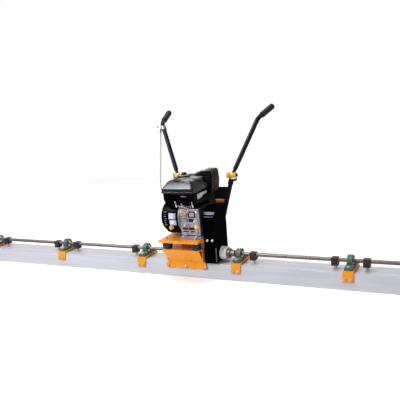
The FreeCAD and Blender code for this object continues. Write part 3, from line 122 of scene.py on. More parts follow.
def material(name, colour, rough, metallic=0.0, vary=0.25, grain=45, rough_vary=0.12,
             bump=0.15, bump_scale=900, stretch=(1, 1, 1), wear_and_highlight=None, wear_and_highlight_amount=0.6,
             dust_and_sheen=0.0, coat=0.0, specular=0.5, ior=1.5, round_edge=0.0008):
    """Principled material with clouded colour, fine bump, rounded edges, worn edges that also carry painted edge
    highlights, and dust on upward faces that also carries painted top sheen.
    """
    made = bpy.data.materials.new(name)
    made.use_nodes = True
    tree = made.node_tree
    shader = tree.nodes["Principled BSDF"]
    shader.inputs["Metallic"].default_value = metallic
    shader.inputs["Coat Weight"].default_value = coat
    shader.inputs["Coat Roughness"].default_value = 0.08
    shader.inputs["Specular IOR Level"].default_value = specular
    shader.inputs["IOR"].default_value = ior

    def add(kind, **settings):
        node = tree.nodes.new(kind)
        for key, value in settings.items():
            setattr(node, key, value)
        return node

    def noise(scale, detail, squeeze=(1, 1, 1)):
        mapping = add("ShaderNodeMapping")
        mapping.inputs["Scale"].default_value = squeeze
        tree.links.new(place.outputs["Object"], mapping.inputs["Vector"])
        texture = add("ShaderNodeTexNoise")
        texture.inputs["Scale"].default_value = scale
        texture.inputs["Detail"].default_value = detail
        tree.links.new(mapping.outputs["Vector"], texture.inputs["Vector"])
        return texture.outputs["Fac"]

    def ranged(source, low, high, to_low, to_high):
        node = add("ShaderNodeMapRange")
        for key, value in zip(("From Min", "From Max", "To Min", "To Max"),
                              (low, high, to_low, to_high)):
            node.inputs[key].default_value = value
        tree.links.new(source, node.inputs["Value"])
        return node.outputs["Result"]

    def mixed(factor, first, second):
        node = add("ShaderNodeMix", data_type="RGBA")
        tree.links.new(factor, node.inputs["Factor"])
        for value, socket in ((first, node.inputs[6]), (second, node.inputs[7])):
            if isinstance(value, tuple):
                socket.default_value = (*value, 1)
            else:
                tree.links.new(value, socket)
        return node.outputs[2]

    def masked(amount, scale, detail, low, high):
        """The amount where a noise is high, as patches of wear and dust, which also carry painted highlight and
        sheen.
        """
        both = add("ShaderNodeMath", operation="MULTIPLY")
        tree.links.new(amount, both.inputs[0])
        tree.links.new(ranged(noise(scale, detail), low, high, 0, 1), both.inputs[1])
        return both.outputs[0]

    place = add("ShaderNodeTexCoord")
    cloud = noise(grain, 6, stretch)
    spread = ranged(cloud, 0.3, 0.7, 0, 1)
    tone = mixed(spread, tuple(c * (1 - vary) for c in colour),
                 tuple(min(1, c * (1 + vary * 0.6)) for c in colour))
    roughness = ranged(cloud, 0.3, 0.7, max(0.03, rough - rough_vary),
                       min(1, rough + rough_vary))
    bevel = add("ShaderNodeBevel", samples=4)
    bevel.inputs["Radius"].default_value = round_edge
    # Lighter tone on edges: wear, and on the heat shield and its hoops painted highlight along the edges.
    if wear_and_highlight:
        facing = add("ShaderNodeVectorMath", operation="DOT_PRODUCT")
        flat = add("ShaderNodeNewGeometry")
        tree.links.new(bevel.outputs["Normal"], facing.inputs[0])
        tree.links.new(flat.outputs["True Normal"], facing.inputs[1])
        edge = ranged(facing.outputs["Value"], 0.99, 0.86, 0, wear_and_highlight_amount)
        tone = mixed(masked(edge, 160, 4, 0.48, 0.6), tone, wear_and_highlight)
    # Upward faces lightened: dust, and on the tank a painted sheen for the light on its top.
    if dust_and_sheen:
        up = add("ShaderNodeSeparateXYZ")
        flat = add("ShaderNodeNewGeometry")
        tree.links.new(flat.outputs["Normal"], up.inputs[0])
        lying = ranged(up.outputs["Z"], 0.5, 1, 0, dust_and_sheen)
        tone = mixed(masked(lying, 22, 5, 0.45, 0.65), tone, DUST_AND_SHEEN)
    relief = add("ShaderNodeBump")
    relief.inputs["Strength"].default_value = bump
    relief.inputs["Distance"].default_value = 0.0006
    tree.links.new(noise(bump_scale, 3, stretch), relief.inputs["Height"])
    tree.links.new(bevel.outputs["Normal"], relief.inputs["Normal"])
    tree.links.new(tone, shader.inputs["Base Color"])
    tree.links.new(roughness, shader.inputs["Roughness"])
    tree.links.new(relief.outputs["Normal"], shader.inputs["Normal"])
    return made


LOOKS = {
    "beam_metal": material("extruded_aluminium", (0.54, 0.535, 0.59), 0.45, 0.3, vary=0.07,
                           grain=9, stretch=(0.4, 9, 9), bump=0.06, bump_scale=260,
                           dust_and_sheen=0.10),
    "yellow_paint": material("yellow_enamel", (0.80, 0.295, 0.011), 0.36, vary=0.07, bump=0.04,
                             bump_scale=500, wear_and_highlight=(0.30, 0.22, 0.16), wear_and_highlight_amount=0.5,
                             dust_and_sheen=0.04, coat=0.05, specular=0.3),
    "green_paint": material("green_casting_paint", (0.055, 0.105, 0.07), 0.5, vary=0.35,
                            bump=0.3, bump_scale=420, wear_and_highlight=(0.3, 0.3, 0.28), specular=0.35,
                            dust_and_sheen=0.12),
    "bearing_steel": material("ground_steel", (0.50, 0.50, 0.52), 0.25, 0.95, vary=0.12,
                              stretch=(6, 1, 1), bump=0.05),
    "shaft_steel": material("turned_steel", (0.16, 0.125, 0.10), 0.42, 0.6, vary=0.4,
                            grain=30, stretch=(5, 1, 1), bump=0.12, bump_scale=500),
    "weight_iron": material("weight_casting", (0.034, 0.017, 0.015), 0.55, 0.2, vary=0.45,
                            bump=0.4, bump_scale=380, wear_and_highlight=(0.22, 0.17, 0.15), specular=0.3),
    "fastener_zinc": material("zinc_plate", (0.60, 0.60, 0.60), 0.28, 0.95, vary=0.2,
                              grain=200, bump=0.06),
    "coupling_nylon": material("white_nylon", (0.76, 0.77, 0.74), 0.42, vary=0.06, bump=0.06,
                               dust_and_sheen=0.15),
    "pulley_iron": material("machined_iron", (0.22, 0.22, 0.23), 0.38, 0.85, vary=0.25,
                            stretch=(4, 1, 1), bump=0.2),
    "belt_rubber": material("belt_rubber", (0.02, 0.02, 0.02), 0.75, vary=0.3, bump=0.3),
    "guard_paint": material("guard_paint", BLACK, 0.34, vary=0.2, bump=0.015, bump_scale=240,
                            rough_vary=0.05, wear_and_highlight=(0.03, 0.03, 0.03), specular=0.012, ior=1.14),
    "buffer_rubber": material("buffer_rubber", (0.006, 0.0062, 0.009), 0.45, vary=0.3,
                              bump=0.1, specular=0.35),
    "engine_aluminium": material("cast_aluminium", (0.33, 0.29, 0.335), 0.42, 0.45, vary=0.35,
                                 grain=60, bump=0.3, bump_scale=420, wear_and_highlight=(0.72, 0.70, 0.73),
                                 wear_and_highlight_amount=0.8),
    "engine_steel": material("machined_steel", (0.48, 0.48, 0.50), 0.3, 0.95, vary=0.2),
    "flywheel_iron": material("flywheel_casting", (0.30, 0.30, 0.32), 0.5, 0.7, bump=0.4),
    "housing_black": material("housing_black", BLACK, 0.30, vary=0.3, bump=0.02,
                              wear_and_highlight=(0.04, 0.04, 0.04), specular=0.03, ior=1.3),
    "grip_black": material("starter_grip", (0.02, 0.02, 0.022), 0.4, vary=0.3),
    # The strong top lightening of this material is painted sheen on the tank's top.
    "tank_black": material("tank_gloss", (0.0025, 0.0025, 0.0035), 0.17, vary=0.3, bump=0.006,
                           bump_scale=200, rough_vary=0.03, specular=0.18, dust_and_sheen=0.7),
    "cap_black": material("cap_plastic", (0.006, 0.006, 0.007), 0.36, vary=0.3, bump=0.06,
                          specular=0.3),
    "carburettor_zinc": material("carburettor_casting", (0.42, 0.42, 0.43), 0.42, 0.8,
                                 bump=0.4),
    "lever_plastic": material("cast_lever", (0.30, 0.24, 0.26), 0.35, 0.55, vary=0.4,
                              wear_and_highlight=(0.75, 0.75, 0.75)),
    "linkage_copper": material("passivated_steel", (0.48, 0.27, 0.15), 0.34, 0.85, vary=0.3,
                               grain=120),
    "cleaner_plastic": material("cleaner_plastic", (0.006, 0.006, 0.007), 0.5, vary=0.3,
                                bump=0.15, bump_scale=1200, specular=0.3),
    "muffler_steel": material("heated_steel", (0.16, 0.11, 0.085), 0.48, 0.8, vary=0.5,
                              grain=25, bump=0.2),
    # The brownish edge tone here is painted highlight along the shield's edges as well as wear.
    "muffler_black": material("muffler_guard", (0.0025, 0.002, 0.002), 0.36, 0.1, vary=0.5,
                              grain=30, wear_and_highlight=(0.16, 0.11, 0.08), bump=0.08, specular=0.4,
                              ior=1.25),
    "plug_ceramic": material("plug_boot", (0.02, 0.02, 0.02), 0.5, vary=0.3),
    "oil_cap_yellow": material("yellow_plastic", (0.86, 0.60, 0.07), 0.36, vary=0.08,
                               bump=0.1),
    "switch_yellow": material("switch_plastic", (0.85, 0.50, 0.06), 0.4, vary=0.1),
    "tube_black": material("powder_coat", (0.006, 0.0063, 0.008), 0.42, vary=0.25, bump=0.015,
                           bump_scale=700, wear_and_highlight=(0.05, 0.05, 0.05), specular=0.14),
    "panel_black": material("panel_coat", (0.005, 0.005, 0.009), 0.42, vary=0.25, bump=0.06,
                            bump_scale=1400, wear_and_highlight=(0.07, 0.07, 0.08), specular=0.25),
    "knob_yellow": material("knob_plastic", (0.88, 0.52, 0.07), 0.34, vary=0.08, bump=0.1),
    "grip_rubber": material("grip_rubber", (0.011, 0.0115, 0.0125), 0.58, vary=0.25, bump=0.2,
                            bump_scale=1100, specular=0.3),
    "cable_grey": material("cable_sheath", (0.42, 0.36, 0.35), 0.6, vary=0.12, bump=0.02),
}
LABEL = material("blank_label", (0.66, 0.62, 0.74), 0.38, vary=0.07, bump=0.03, coat=0.3)
PALE = material("pale_label", (0.62, 0.58, 0.52), 0.4, vary=0.08, bump=0.03, coat=0.2)
GREY_LABEL = material("grey_label", (0.20, 0.20, 0.22), 0.4, vary=0.1, bump=0.03, coat=0.2)
# Painted highlight: a pale bluish strip for the light caught on the guard's rounded shoulder.
PAINTED_HIGHLIGHT = material("painted_highlight_strip", (0.26, 0.27, 0.33), 0.6, vary=0.15, bump=0.04, specular=0.2)
# The bright brown edge tone of the hoops is painted highlight as well as wear.
HOOP = material("hot_steel", (0.045, 0.025, 0.019), 0.38, 0.5, vary=0.7, grain=60,
                wear_and_highlight=(0.35, 0.24, 0.19), wear_and_highlight_amount=0.8)
LOUVRE = material("louvre_plastic", (0.05, 0.05, 0.06), 0.4, vary=0.3, wear_and_highlight=(0.4, 0.4, 0.42),
                  wear_and_highlight_amount=0.8)
RIB_GREY = material("rib_plastic", (0.22, 0.22, 0.25), 0.4, vary=0.6, grain=120)
CAP_PLATE = material("cap_plate", (0.34, 0.31, 0.30), 0.42, 0.2, vary=0.3, bump=0.08)
BRASS = material("brass", (0.70, 0.50, 0.20), 0.3, 0.95, vary=0.15)
GREEN_GREY = material("edge_casting", (0.20, 0.26, 0.24), 0.42, 0.35, vary=0.3, bump=0.2,
                      bump_scale=400)
# Painted shade: near-black for gaps, recesses and holes that fall into shadow.
SHADOW_PAINT = material("shadow_gap", (0.004, 0.004, 0.004), 0.9, vary=0.3, bump=0.1)
# Painted shade: the engine castings drawn near black for the shade on their sides, over their pale aluminium.
SHADED_CASTING = material("shade_painted_casting", (0.018, 0.018, 0.022), 0.45, 0.2, vary=0.4, bump=0.2,
                        specular=0.25)


def give_look(node, look):
    """Give a CAD node its material."""
    shown = frame["nodes"][node]
    if not shown.material_slots:
        shown.data.materials.append(look)
    for holder in shown.material_slots:
        holder.material = look


for entry in frame["record"]["subparts"]:
    give_look(entry["node"], LOOKS[entry["material_slot"]])
# Crankcase, head, rocker cover and side cover painted dark as shade; case_front keeps the aluminium tone on the
# front.
for engine_side in ("crankcase", "cylinder_head", "rocker_cover", "side_cover"):
    give_look(engine_side, SHADED_CASTING)
give_look("handle_pivots", LOOKS["tube_black"])


# ---------------------------------------------------------------- mesh helpers
def finished(name, mesh, body, look, bevel=0.0):
    """Put a mesh in the scene with its material, its body and rounded edges."""
    piece = bpy.data.objects.new(name, mesh)
    COLLECTION.objects.link(piece)
    mesh.materials.append(look)
    mesh.polygons.foreach_set("use_smooth", [True] * len(mesh.polygons))
    if bevel:
        edge = piece.modifiers.new("edge", "BEVEL")
        edge.width = bevel
        edge.segments = 3
        edge.limit_method = "ANGLE"
        edge.angle_limit = math.radians(35)
        edge.harden_normals = True
    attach(piece, body)
    return piece


def mesh_from(name, points, faces):
    """A mesh with outward faces."""
    mesh = bpy.data.meshes.new(name)
    mesh.from_pydata([tuple(p) for p in points], [], faces)
    shape = bmesh.new()
    shape.from_mesh(mesh)
    bmesh.ops.recalc_face_normals(shape, faces=shape.faces)
    shape.to_mesh(mesh)
    shape.free()
    return mesh


def joined(name, meshes):
    """One mesh from several."""
    shape = bmesh.new()
    for mesh in meshes:
        shape.from_mesh(mesh)
    whole = bpy.data.meshes.new(name)
    shape.to_mesh(whole)
    shape.free()
    return whole


def lofted(name, rings):
    """Skin through rings of equal point count, with end caps."""
    count = len(rings[0])
    points = [p for ring in rings for p in ring]
    faces = []
    for level in range(len(rings) - 1):
        for k in range(count):
            a = level * count + k
            b = level * count + (k + 1) % count
            faces.append((a, b, b + count, a + count))
    faces.append(tuple(range(count - 1, -1, -1)))
    faces.append(tuple((len(rings) - 1) * count + k for k in range(count)))
    return mesh_from(name, points, faces)


def axis_frame(axis):
    """Matrix whose Z runs along axis."""
    return Vector(axis).to_track_quat("Z", "Y").to_matrix()


def lathed(name, profile, origin, axis, steps=48, lobes=0, depth=0.0):
    """Turned shape: profile of (radius, distance along axis) in millimetres, with optional lobes."""
    turn = axis_frame(axis)
    rings = []
    for radius, along in profile:
        ring = []
        for k in range(steps):
            angle = math.tau * k / steps
            wave = 1 - depth * (1 - math.cos(lobes * angle)) / 2 if lobes else 1
            spot = Vector((math.cos(angle), math.sin(angle), 0)) * radius * wave
            ring.append(mm(*origin) + turn @ (Vector((spot.x, spot.y, along)) * MM))
        rings.append(ring)
    return lofted(name, rings)


def block(name, low, high):
    """Box mesh between two corners in millimetres."""
    (x0, y0, z0), (x1, y1, z1) = low, high
    ring = [(x0, y0), (x1, y0), (x1, y1), (x0, y1)]
    return lofted(name, [[mm(x, y, z) for x, y in ring] for z in (z0, z1)])


def rounded_ring(x0, x1, y0, y1, radius, z, steps=8):
    """Rounded rectangle at one height, in millimetres."""
    ring = []
    corners = ((x1 - radius, y1 - radius, 0), (x0 + radius, y1 - radius, 90),
               (x0 + radius, y0 + radius, 180), (x1 - radius, y0 + radius, 270))
    for cx, cy, start in corners:
        for k in range(steps + 1):
            angle = math.radians(start + 90 * k / steps)
            ring.append(mm(cx + radius * math.cos(angle), cy + radius * math.sin(angle), z))
    return ring


def bar(name, start, end, radius, steps=16):
    """Round bar between two points in millimetres, with slightly rounded ends."""
    first, last = Vector(start), Vector(end)
    length = (last - first).length
    soft = min(radius * 0.4, length * 0.2)
    profile = ((radius - soft, 0), (radius, soft), (radius, length - soft),
               (radius - soft, length))
    return lathed(name, profile, start, last - first, steps)


def curve_mesh(name, points, radius, steps):
    """Mesh tube along a smooth line through control points in metres, and the line itself."""
    data = bpy.data.curves.new(name, "CURVE")
    data.dimensions = "3D"
    data.resolution_u = steps
    spline = data.splines.new("NURBS")
    spline.points.add(len(points) - 1)
    for spot, point in zip(spline.points, points):
        spot.co = (*point, 1)
    spline.order_u = 3
    spline.use_endpoint_u = True
    holder = bpy.data.objects.new(name, data)
    COLLECTION.objects.link(holder)
    bpy.context.view_layer.update()
    line = [v.co.copy() for v in bpy.data.meshes.new_from_object(holder).vertices]
    data.bevel_depth = radius
    data.bevel_resolution = 5
    data.use_fill_caps = True
    bpy.context.view_layer.update()
    mesh = bpy.data.meshes.new_from_object(
        holder.evaluated_get(bpy.context.evaluated_depsgraph_get()))
    bpy.data.objects.remove(holder)
    mesh.name = name
    mesh.materials.clear()
    return mesh, line


# ---------------------------------------------------------------- fuel tank
# Height, insets at the front, left, right and back, and corner radius, in millimetres
TANK_LEVELS = (
    (477.3, 10, 10, 10, 10, 9), (479, 4, 4, 4, 4, 10), (484.4, 2.5, 2.5, 2.5, 2.5, 10),
    (484.9, 0, 0, 0, 0, 11), (488.4, 0, 0, 0, 0, 11), (489, 3, 3, 3, 3, 10),
    (502, 2, 3, 2, 3, 10), (506, 2.5, 5, 3, 4, 10), (509, 5, 9, 4, 5, 10),
    (538, 24, 31, 13, 12, 11), (543, 29, 35, 17, 16, 12), (546.5, 37, 42, 24, 24, 14),
    (549, 52, 56, 42, 38, 18), (550, 72, 76, 60, 52, 20))


TANK_WIDER = 5
FLANK = ((-88, 477), (-88, 445), (-80, 428), (-72, 405), (-28, 400), (-28, 477))


def make_tank():
    """Pressed tank with rolled seam, sloping sides and filler neck, and a flank under its left."""
    low, high = node_box("fuel_tank")
    rings = []
    for z, front, left, right, back, radius in TANK_LEVELS:
        rings.append(rounded_ring(low.x - TANK_WIDER + left, high.x - right, low.y + front,
                                  high.y - back, radius, z, 10))
    shell = lofted("tank_shell", rings)
    neck = lathed("tank_neck", ((24, -6), (24, -1), (20.6, 0), (20.6, 2)),
                  (FUEL_CAP_X, FUEL_CAP_Y, 549.5), (0, 0, 1))
    piece = finished("tank_shell", joined("tank_shell", [shell, neck]), "base",
                     LOOKS["tank_black"], bevel=0.0012)
    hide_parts("fuel_tank")
    flank = lofted("tank_flank", [[mm(x, y, z) for x, z in FLANK] for y in (-93, -58)])
    finished("tank_flank", flank, "base", LOOKS["housing_black"],
             bevel=0.002)


make_tank()


# ---------------------------------------------------------------- filler cap, oil cap, knobs
def make_caps():
    """Ribbed fuel cap with its top plate, finned oil cap and the two lobed clamp knobs."""
    seat = (FUEL_CAP_X, FUEL_CAP_Y, 552.5)
    skirt = lathed("skirt", ((33, -5), (35.4, -4), (36, 3), (34, 5), (17, 5.6), (0.5, 5.8)),
                   seat, (0, 0, 1), 144, 36, 0.03)
    grip = lathed("grip", ((16.4, 5), (15.4, 8), (15, 17), (13.4, 19), (0.5, 19.6)),
                  seat, (0, 0, 1), 96, 6, 0.14)
    piece = finished("fuel_cap_ribbed", joined("fuel_cap_ribbed", [skirt, grip]), "tank_cap",
                     LOOKS["cap_black"])
    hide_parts("fuel_cap")
    plate = lathed("fuel_cap_plate", ((17.6, 5.3), (18, 6.4), (32, 6), (33, 5)), seat,
                   (0, 0, 1), 96)
    finished("fuel_cap_plate", plate, "tank_cap", CAP_PLATE)
    head = lathed("oil_cap_grip", ((8.5, 0), (13.8, 0.6), (13.8, 4), (11, 4.8), (10.5, 12.2),
                                   (9, 13)),
                  (OIL_CAP_X, BLOCK_FRONT - 0.4, OIL_CAP_Z), (0, -1, 0), 96, 6, 0.18)
    stem = bar("oil_cap_stem", (OIL_CAP_X, BLOCK_FRONT + 8, OIL_CAP_Z),
               (OIL_CAP_X, BLOCK_FRONT - 0.6, OIL_CAP_Z), 8.6)
    piece = finished("oil_cap_grip", joined("oil_cap_grip", [head, stem]), "oil_cap",
                     LOOKS["oil_cap_yellow"])
    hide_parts("oil_filler_cap")
    for side, sign in SIDES:
        node = f"knob_{side}"
        low, high = node_box(node)
        deep = high.x - low.x
        profile = ((9, 0), (11, 0.8), (16.5, 3), (17.6, 6), (17.6, deep - 4),
                   (15.5, deep - 1), (8, deep), (0.4, deep))
        start = (low + high) / 2 + Vector((deep / 2 * sign, 0, 0))
        knob = lathed(f"clamp_knob_{side}", profile, start, (-sign, 0, 0), 126, 7, 0.2)
        piece = finished(f"clamp_knob_{side}", knob, f"{side}_knob", LOOKS["knob_yellow"])
        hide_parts(node)


make_caps()


# ---------------------------------------------------------------- grips
BEND = {"left": (-318, 354, 818), "right": (318, 354, 818)}
TIP = {"left": (-350, 501, 868), "right": (350, 501, 868)}
GRIP_LENGTH = 118


def make_grips():
    """Rubber grips with rolled collar, ribs and a domed end."""
    for side in ("left", "right"):
        along = (Vector(TIP[side]) - Vector(BEND[side])).normalized()
        start = Vector(TIP[side]) - along * (GRIP_LENGTH - 6)
        profile = [(13.1, 0), (17.8, 0.6), (17.9, 4), (16.4, 5.5)]
        for rib in range(22):
            at = 8 + rib * 4.4
            profile += [(16.6, at), (17.5, at + 1.1), (17.5, at + 2.2), (16.6, at + 3.3)]
        profile += [(17.6, 108), (17.9, 111), (17.2, 115), (14, 117.4), (6, 118), (0.5, 118)]
        grip = lathed(f"rubber_grip_{side}", profile, start, along, 56)
        piece = finished(f"rubber_grip_{side}", grip, f"handle_{side}", LOOKS["grip_rubber"])
        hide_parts(f"grip_{side}")


make_grips()


# ---------------------------------------------------------------- rubber buffers
def make_buffers():
    """Bulged rubber buffers between two steel washers."""
    washers = []
    rubbers = []
    for x in (-89, 89):
        for y in (-102, 102):
            at = (x, y, 170)
            rubbers.append(lathed("rubber", ((23, 2), (27, 4), (28.4, 14), (28.6, 25), (28, 36),
                                             (26, 45), (22, 48)), at, (0, 0, 1), 56))
            for low in (0, 48):
                washers.append(lathed("washer", ((23, low), (24, low + 0.4), (24, low + 1.6),
                                                 (23, low + 2)), at, (0, 0, 1), 56))
    piece = finished("buffer_rubbers", joined("buffer_rubbers", rubbers), "base",
                     LOOKS["buffer_rubber"])
    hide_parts("isolators")
    finished("buffer_washers", joined("buffer_washers", washers), "base",
             LOOKS["fastener_zinc"])


make_buffers()


# ---------------------------------------------------------------- engine block detail
def make_case_detail():
    """Pale aluminium front and feet of the crankcase over the shade-painted case, with ribs, panels, bosses, bolts
    and gaps painted dark as shade.
    """
    low = node_box("crankcase")[0]
    front = [block("front", (low.x + 3.7, BLOCK_FRONT - 0.3, 237.6),
                   (117, BLOCK_FRONT + 1, 392.2)),
             block("feet", (low.x - 0.4, low.y - 0.4, low.z - 0.2), (low.x + 127, -66, 238.4))]
    finished("case_front", joined("case_front", front), "base",
             LOOKS["engine_aluminium"], bevel=0.0006)
    # Painted shade: thin near-black plates where recesses and gaps in the case's front fall into shadow.
    shadow_gaps = []
    for x0, z0, x1, z1 in ((50, 344, 94, 378), (8, 322, 46, 340), (52, 318, 96, 338),
                           (8, 262, 82, 288), (4, 240, 116, 246), (100, 250, 104, 284),
                           (6, 346, 46, 352)):
        shadow_gaps.append(block("gap", (x0, BLOCK_FRONT - 0.5, z0), (x1, BLOCK_FRONT + 0.2, z1)))
    finished("case_shadow_gaps", joined("case_shadow_gaps", shadow_gaps), "base", SHADOW_PAINT)
    ribs = []
    for x0, z0, x1, z1, deep in ((6, 252, 86, 257, 4), (6, 270, 82, 274, 3),
                                 (6, 290, 80, 296, 4), (6, 304, 110, 310, 4),
                                 (6, 340, 110, 344, 5), (50, 312, 108, 317, 3),
                                 (58, 350, 88, 372, 3), (96, 314, 100, 386, 4),
                                 (46, 262, 50, 386, 4), (84, 312, 108, 336, 5),
                                 (10, 324, 40, 334, 3), (60, 246, 112, 251, 5)):
        ribs.append(block("rib", (x0, BLOCK_FRONT - deep, z0), (x1, BLOCK_FRONT + 2, z1)))
    for x, z in ((12, 378), (54, 380), (104, 376), (28, 300), (28, 246), (88, 324)):
        ribs.append(lathed("boss", ((8, 0), (7.4, 4), (6.6, 5)), (x, BLOCK_FRONT, z),
                           (0, -1, 0), 32))
    ribs.append(lathed("filler_boss", ((17, -1), (16, 1.6), (15, 2)),
                       (OIL_CAP_X, BLOCK_FRONT + 1.4, OIL_CAP_Z), (0, -1, 0), 40))
    ribs.append(block("rail", (-2, BLOCK_FRONT - 4, 384), (118, BLOCK_FRONT + 4, 391)))
    ribs.append(lathed("drain", ((8, 0), (8, 6), (6.6, 7)), (56, BLOCK_FRONT - 0.5, 262),
                       (0, -1, 0), 6))
    finished("case_ribs", joined("case_ribs", ribs), "base", LOOKS["engine_aluminium"],
             bevel=0.0009)
    bolts = []
    for x, z in ((12, 378), (54, 380), (104, 376), (28, 300), (88, 324)):
        bolts.append(lathed("bolt", ((5, 0), (5, 3.4), (4, 4.2)), (x, BLOCK_FRONT - 4.8, z),
                            (0, -1, 0), 6))
    finished("case_bolts", joined("case_bolts", bolts), "base", LOOKS["fastener_zinc"],
             bevel=0.0005)


make_case_detail()


def make_linkage():
    """Governor rod, return spring and control plate on the engine's front."""
    plate = block("control_plate", (14, -90, 352), (40, -87.5, 380))
    tab = block("control_tab", (26, -96, 384), (48, -94, 388))
    rod = bar("governor_rod", (8, -93, 364), (62, -93, 378), 1.6)
    post = bar("post", (20, -88, 366), (20, -97, 366), 4.2)
    other = bar("post", (40, -88, 372), (40, -96, 372), 3.4)
    finished("governor_linkage", joined("governor_linkage", [plate, tab, rod, post, other]),
             "base", LOOKS["linkage_copper"], bevel=0.0006)
    turns, per_turn, radius, length = 12, 8, 3.0, 30
    line = []
    for k in range(turns * per_turn):
        angle = math.tau * k / per_turn
        line.append(mm(22 + k * length / (turns * per_turn), -100 + radius * math.cos(angle),
                       352 + radius * math.sin(angle)))
    spring = curve_mesh("return_spring", line, 0.0006, 4)[0]
    finished("return_spring", spring, "base", LOOKS["fastener_zinc"])


make_linkage()


# ---------------------------------------------------------------- shroud junction and studs
def make_junction():
    """Band from fan housing to block, its pale edge, the tank studs, and fins and links there."""
    dark = lathed("band", ((98.4, 0), (99, 1), (99, 16), (98, 17), (85, 17)),
                  (-31, 0, CRANK_HEIGHT), (1, 0, 0), 96)
    finished("shroud_band", dark, "base", LOOKS["housing_black"])
    pale = lathed("band", ((93, 0), (94.5, 1), (92, 8), (94, 11), (90, 13), (78, 14)),
                  (-14, 0, CRANK_HEIGHT), (1, 0, 0), 96)
    finished("shroud_edge", pale, "base", GREEN_GREY)
    studs = [bar("stud", (-15, -94, 434), (-9, -94, 402), 4),
             bar("stud", (86, -94, 434), (92, -94, 402), 4)]
    finished("tank_studs", joined("tank_studs", studs), "base", LOOKS["fastener_zinc"])
    fins = []
    for k in range(7):
        x = 2 + k * 11
        fins.append(block("fin", (x, -88, 396), (x + 4, -80, 408 + (k * 7) % 17)))
    fins.append(bar("link", (0, -96, 412), (60, -94, 398), 2.4))
    fins.append(bar("link", (18, -95, 424), (44, -95, 396), 3))
    finished("intake_links", joined("intake_links", fins), "base", LOOKS["engine_aluminium"],
             bevel=0.0006)


make_junction()


# ---------------------------------------------------------------- labels
def shroud_front(z, lift):
    """Y of the fan shroud's front at a height, lifted off its surface, in millimetres."""
    return -math.sqrt((SHROUD_RADIUS + lift) ** 2 - (z - CRANK_HEIGHT) ** 2)


def curved_label(name, x0, x1, z0, z1):
    """Blank label wrapped on the front of the fan shroud, in millimetres."""
    steps = 16
    points = []
    for x in (x0, x1):
        for k in range(steps + 1):
            z = z0 + (z1 - z0) * k / steps
            points.append(mm(x, shroud_front(z, 1.6), z))
    faces = [(k, k + 1, k + steps + 2, k + steps + 1) for k in range(steps)]
    piece = finished(name, mesh_from(name, points, faces), "base", LABEL)
    thick = piece.modifiers.new("thick", "SOLIDIFY")
    thick.thickness = 0.0004


def flat_label(name, corners, look):
    """Thin blank plate through corners in millimetres, listed round its outline."""
    points = [mm(*c) for c in corners]
    piece = finished(name, mesh_from(name, points, [tuple(range(len(points)))]), "base",
                     look)
    thick = piece.modifiers.new("thick", "SOLIDIFY")
    thick.thickness = 0.0006
    thick.offset = 0


curved_label("upper_label", -66, -22, 337, 368)
curved_label("lower_label", -62, -20, 302, 331)
flat_label("side_patch", ((102, -54, 467), (102, 57, 465), (102, 57, 452), (102, 5, 449),
                          (102, -2, 441), (102, -54, 437)), PALE)
flat_label("front_plate", ((22, -92.6, 460), (56, -92.6, 460), (56, -92.6, 465),
                           (22, -92.6, 465)), GREY_LABEL)


# ---------------------------------------------------------------- guard detail
def make_guard_detail():
    """Painted highlight strip on the guard's front shoulder, and the grey edge strip low on its side."""
    flat_label("shoulder_highlight_strip", ((129, -62.6, 344), (190.5, -62.6, 344),
                                  (190.5, -45, 367.5), (129, -45, 367.5)),
               PAINTED_HIGHLIGHT)
    flat_label("corner_strip", ((191.4, -76, 96), (191.4, -66, 96), (191.4, -62, 172),
                                (191.4, -72, 172)), GREY_LABEL)


make_guard_detail()


# ---------------------------------------------------------------- recoil cover louvres
def make_louvres():
    """Louvres, rim, hub plate and screws on the recoil cover, and ribs on the shroud's front."""
    parts = []
    for k in range(28):
        angle = math.tau * k / 28
        inner = Vector((0, math.cos(angle), math.sin(angle))) * 40
        outer = Vector((0, math.cos(angle + 0.16), math.sin(angle + 0.16))) * 70
        centre = Vector((-124.6, 0, CRANK_HEIGHT))
        parts.append(bar("louvre", centre + inner, centre + outer, 2.2, 10))
    parts.append(lathed("rim", ((73, 0), (77, 0.4), (77, 2), (73, 2.4)),
                        (-123.8, 0, CRANK_HEIGHT), (-1, 0, 0), 72))
    parts.append(lathed("hub", ((36, 0), (35, 2.4), (14, 3), (0.5, 3)),
                        (-123.8, 0, CRANK_HEIGHT), (-1, 0, 0), 56))
    finished("recoil_louvres", joined("recoil_louvres", parts), "base", LOUVRE)
    ribs = []
    for k in range(7):
        z = 300 + k * 12
        y = shroud_front(z, 0.6)
        ribs.append(bar("rib", (-97 + k % 2 * 4, y, z), (-80 - k % 3 * 3, y, z + 3), 2, 10))
    finished("shroud_ribs", joined("shroud_ribs", ribs), "base", RIB_GREY)
    screws = []
    for k in range(3):
        angle = math.tau * k / 3 + 0.5
        screws.append(lathed("screw", ((5, 0), (5, 3), (4, 3.8)),
                             (-100, 89 * math.cos(angle),
                              CRANK_HEIGHT + 89 * math.sin(angle)),
                             (-1, 0, 0), 6))
    finished("recoil_screws", joined("recoil_screws", screws), "base",
             LOOKS["fastener_zinc"], bevel=0.0004)


make_louvres()


# ---------------------------------------------------------------- muffler shield
SHIELD = ((-1, 478), (-1, 528), (28, 551), (62, 566), (110, 567), (119, 558), (122, 500),
          (113, 442))


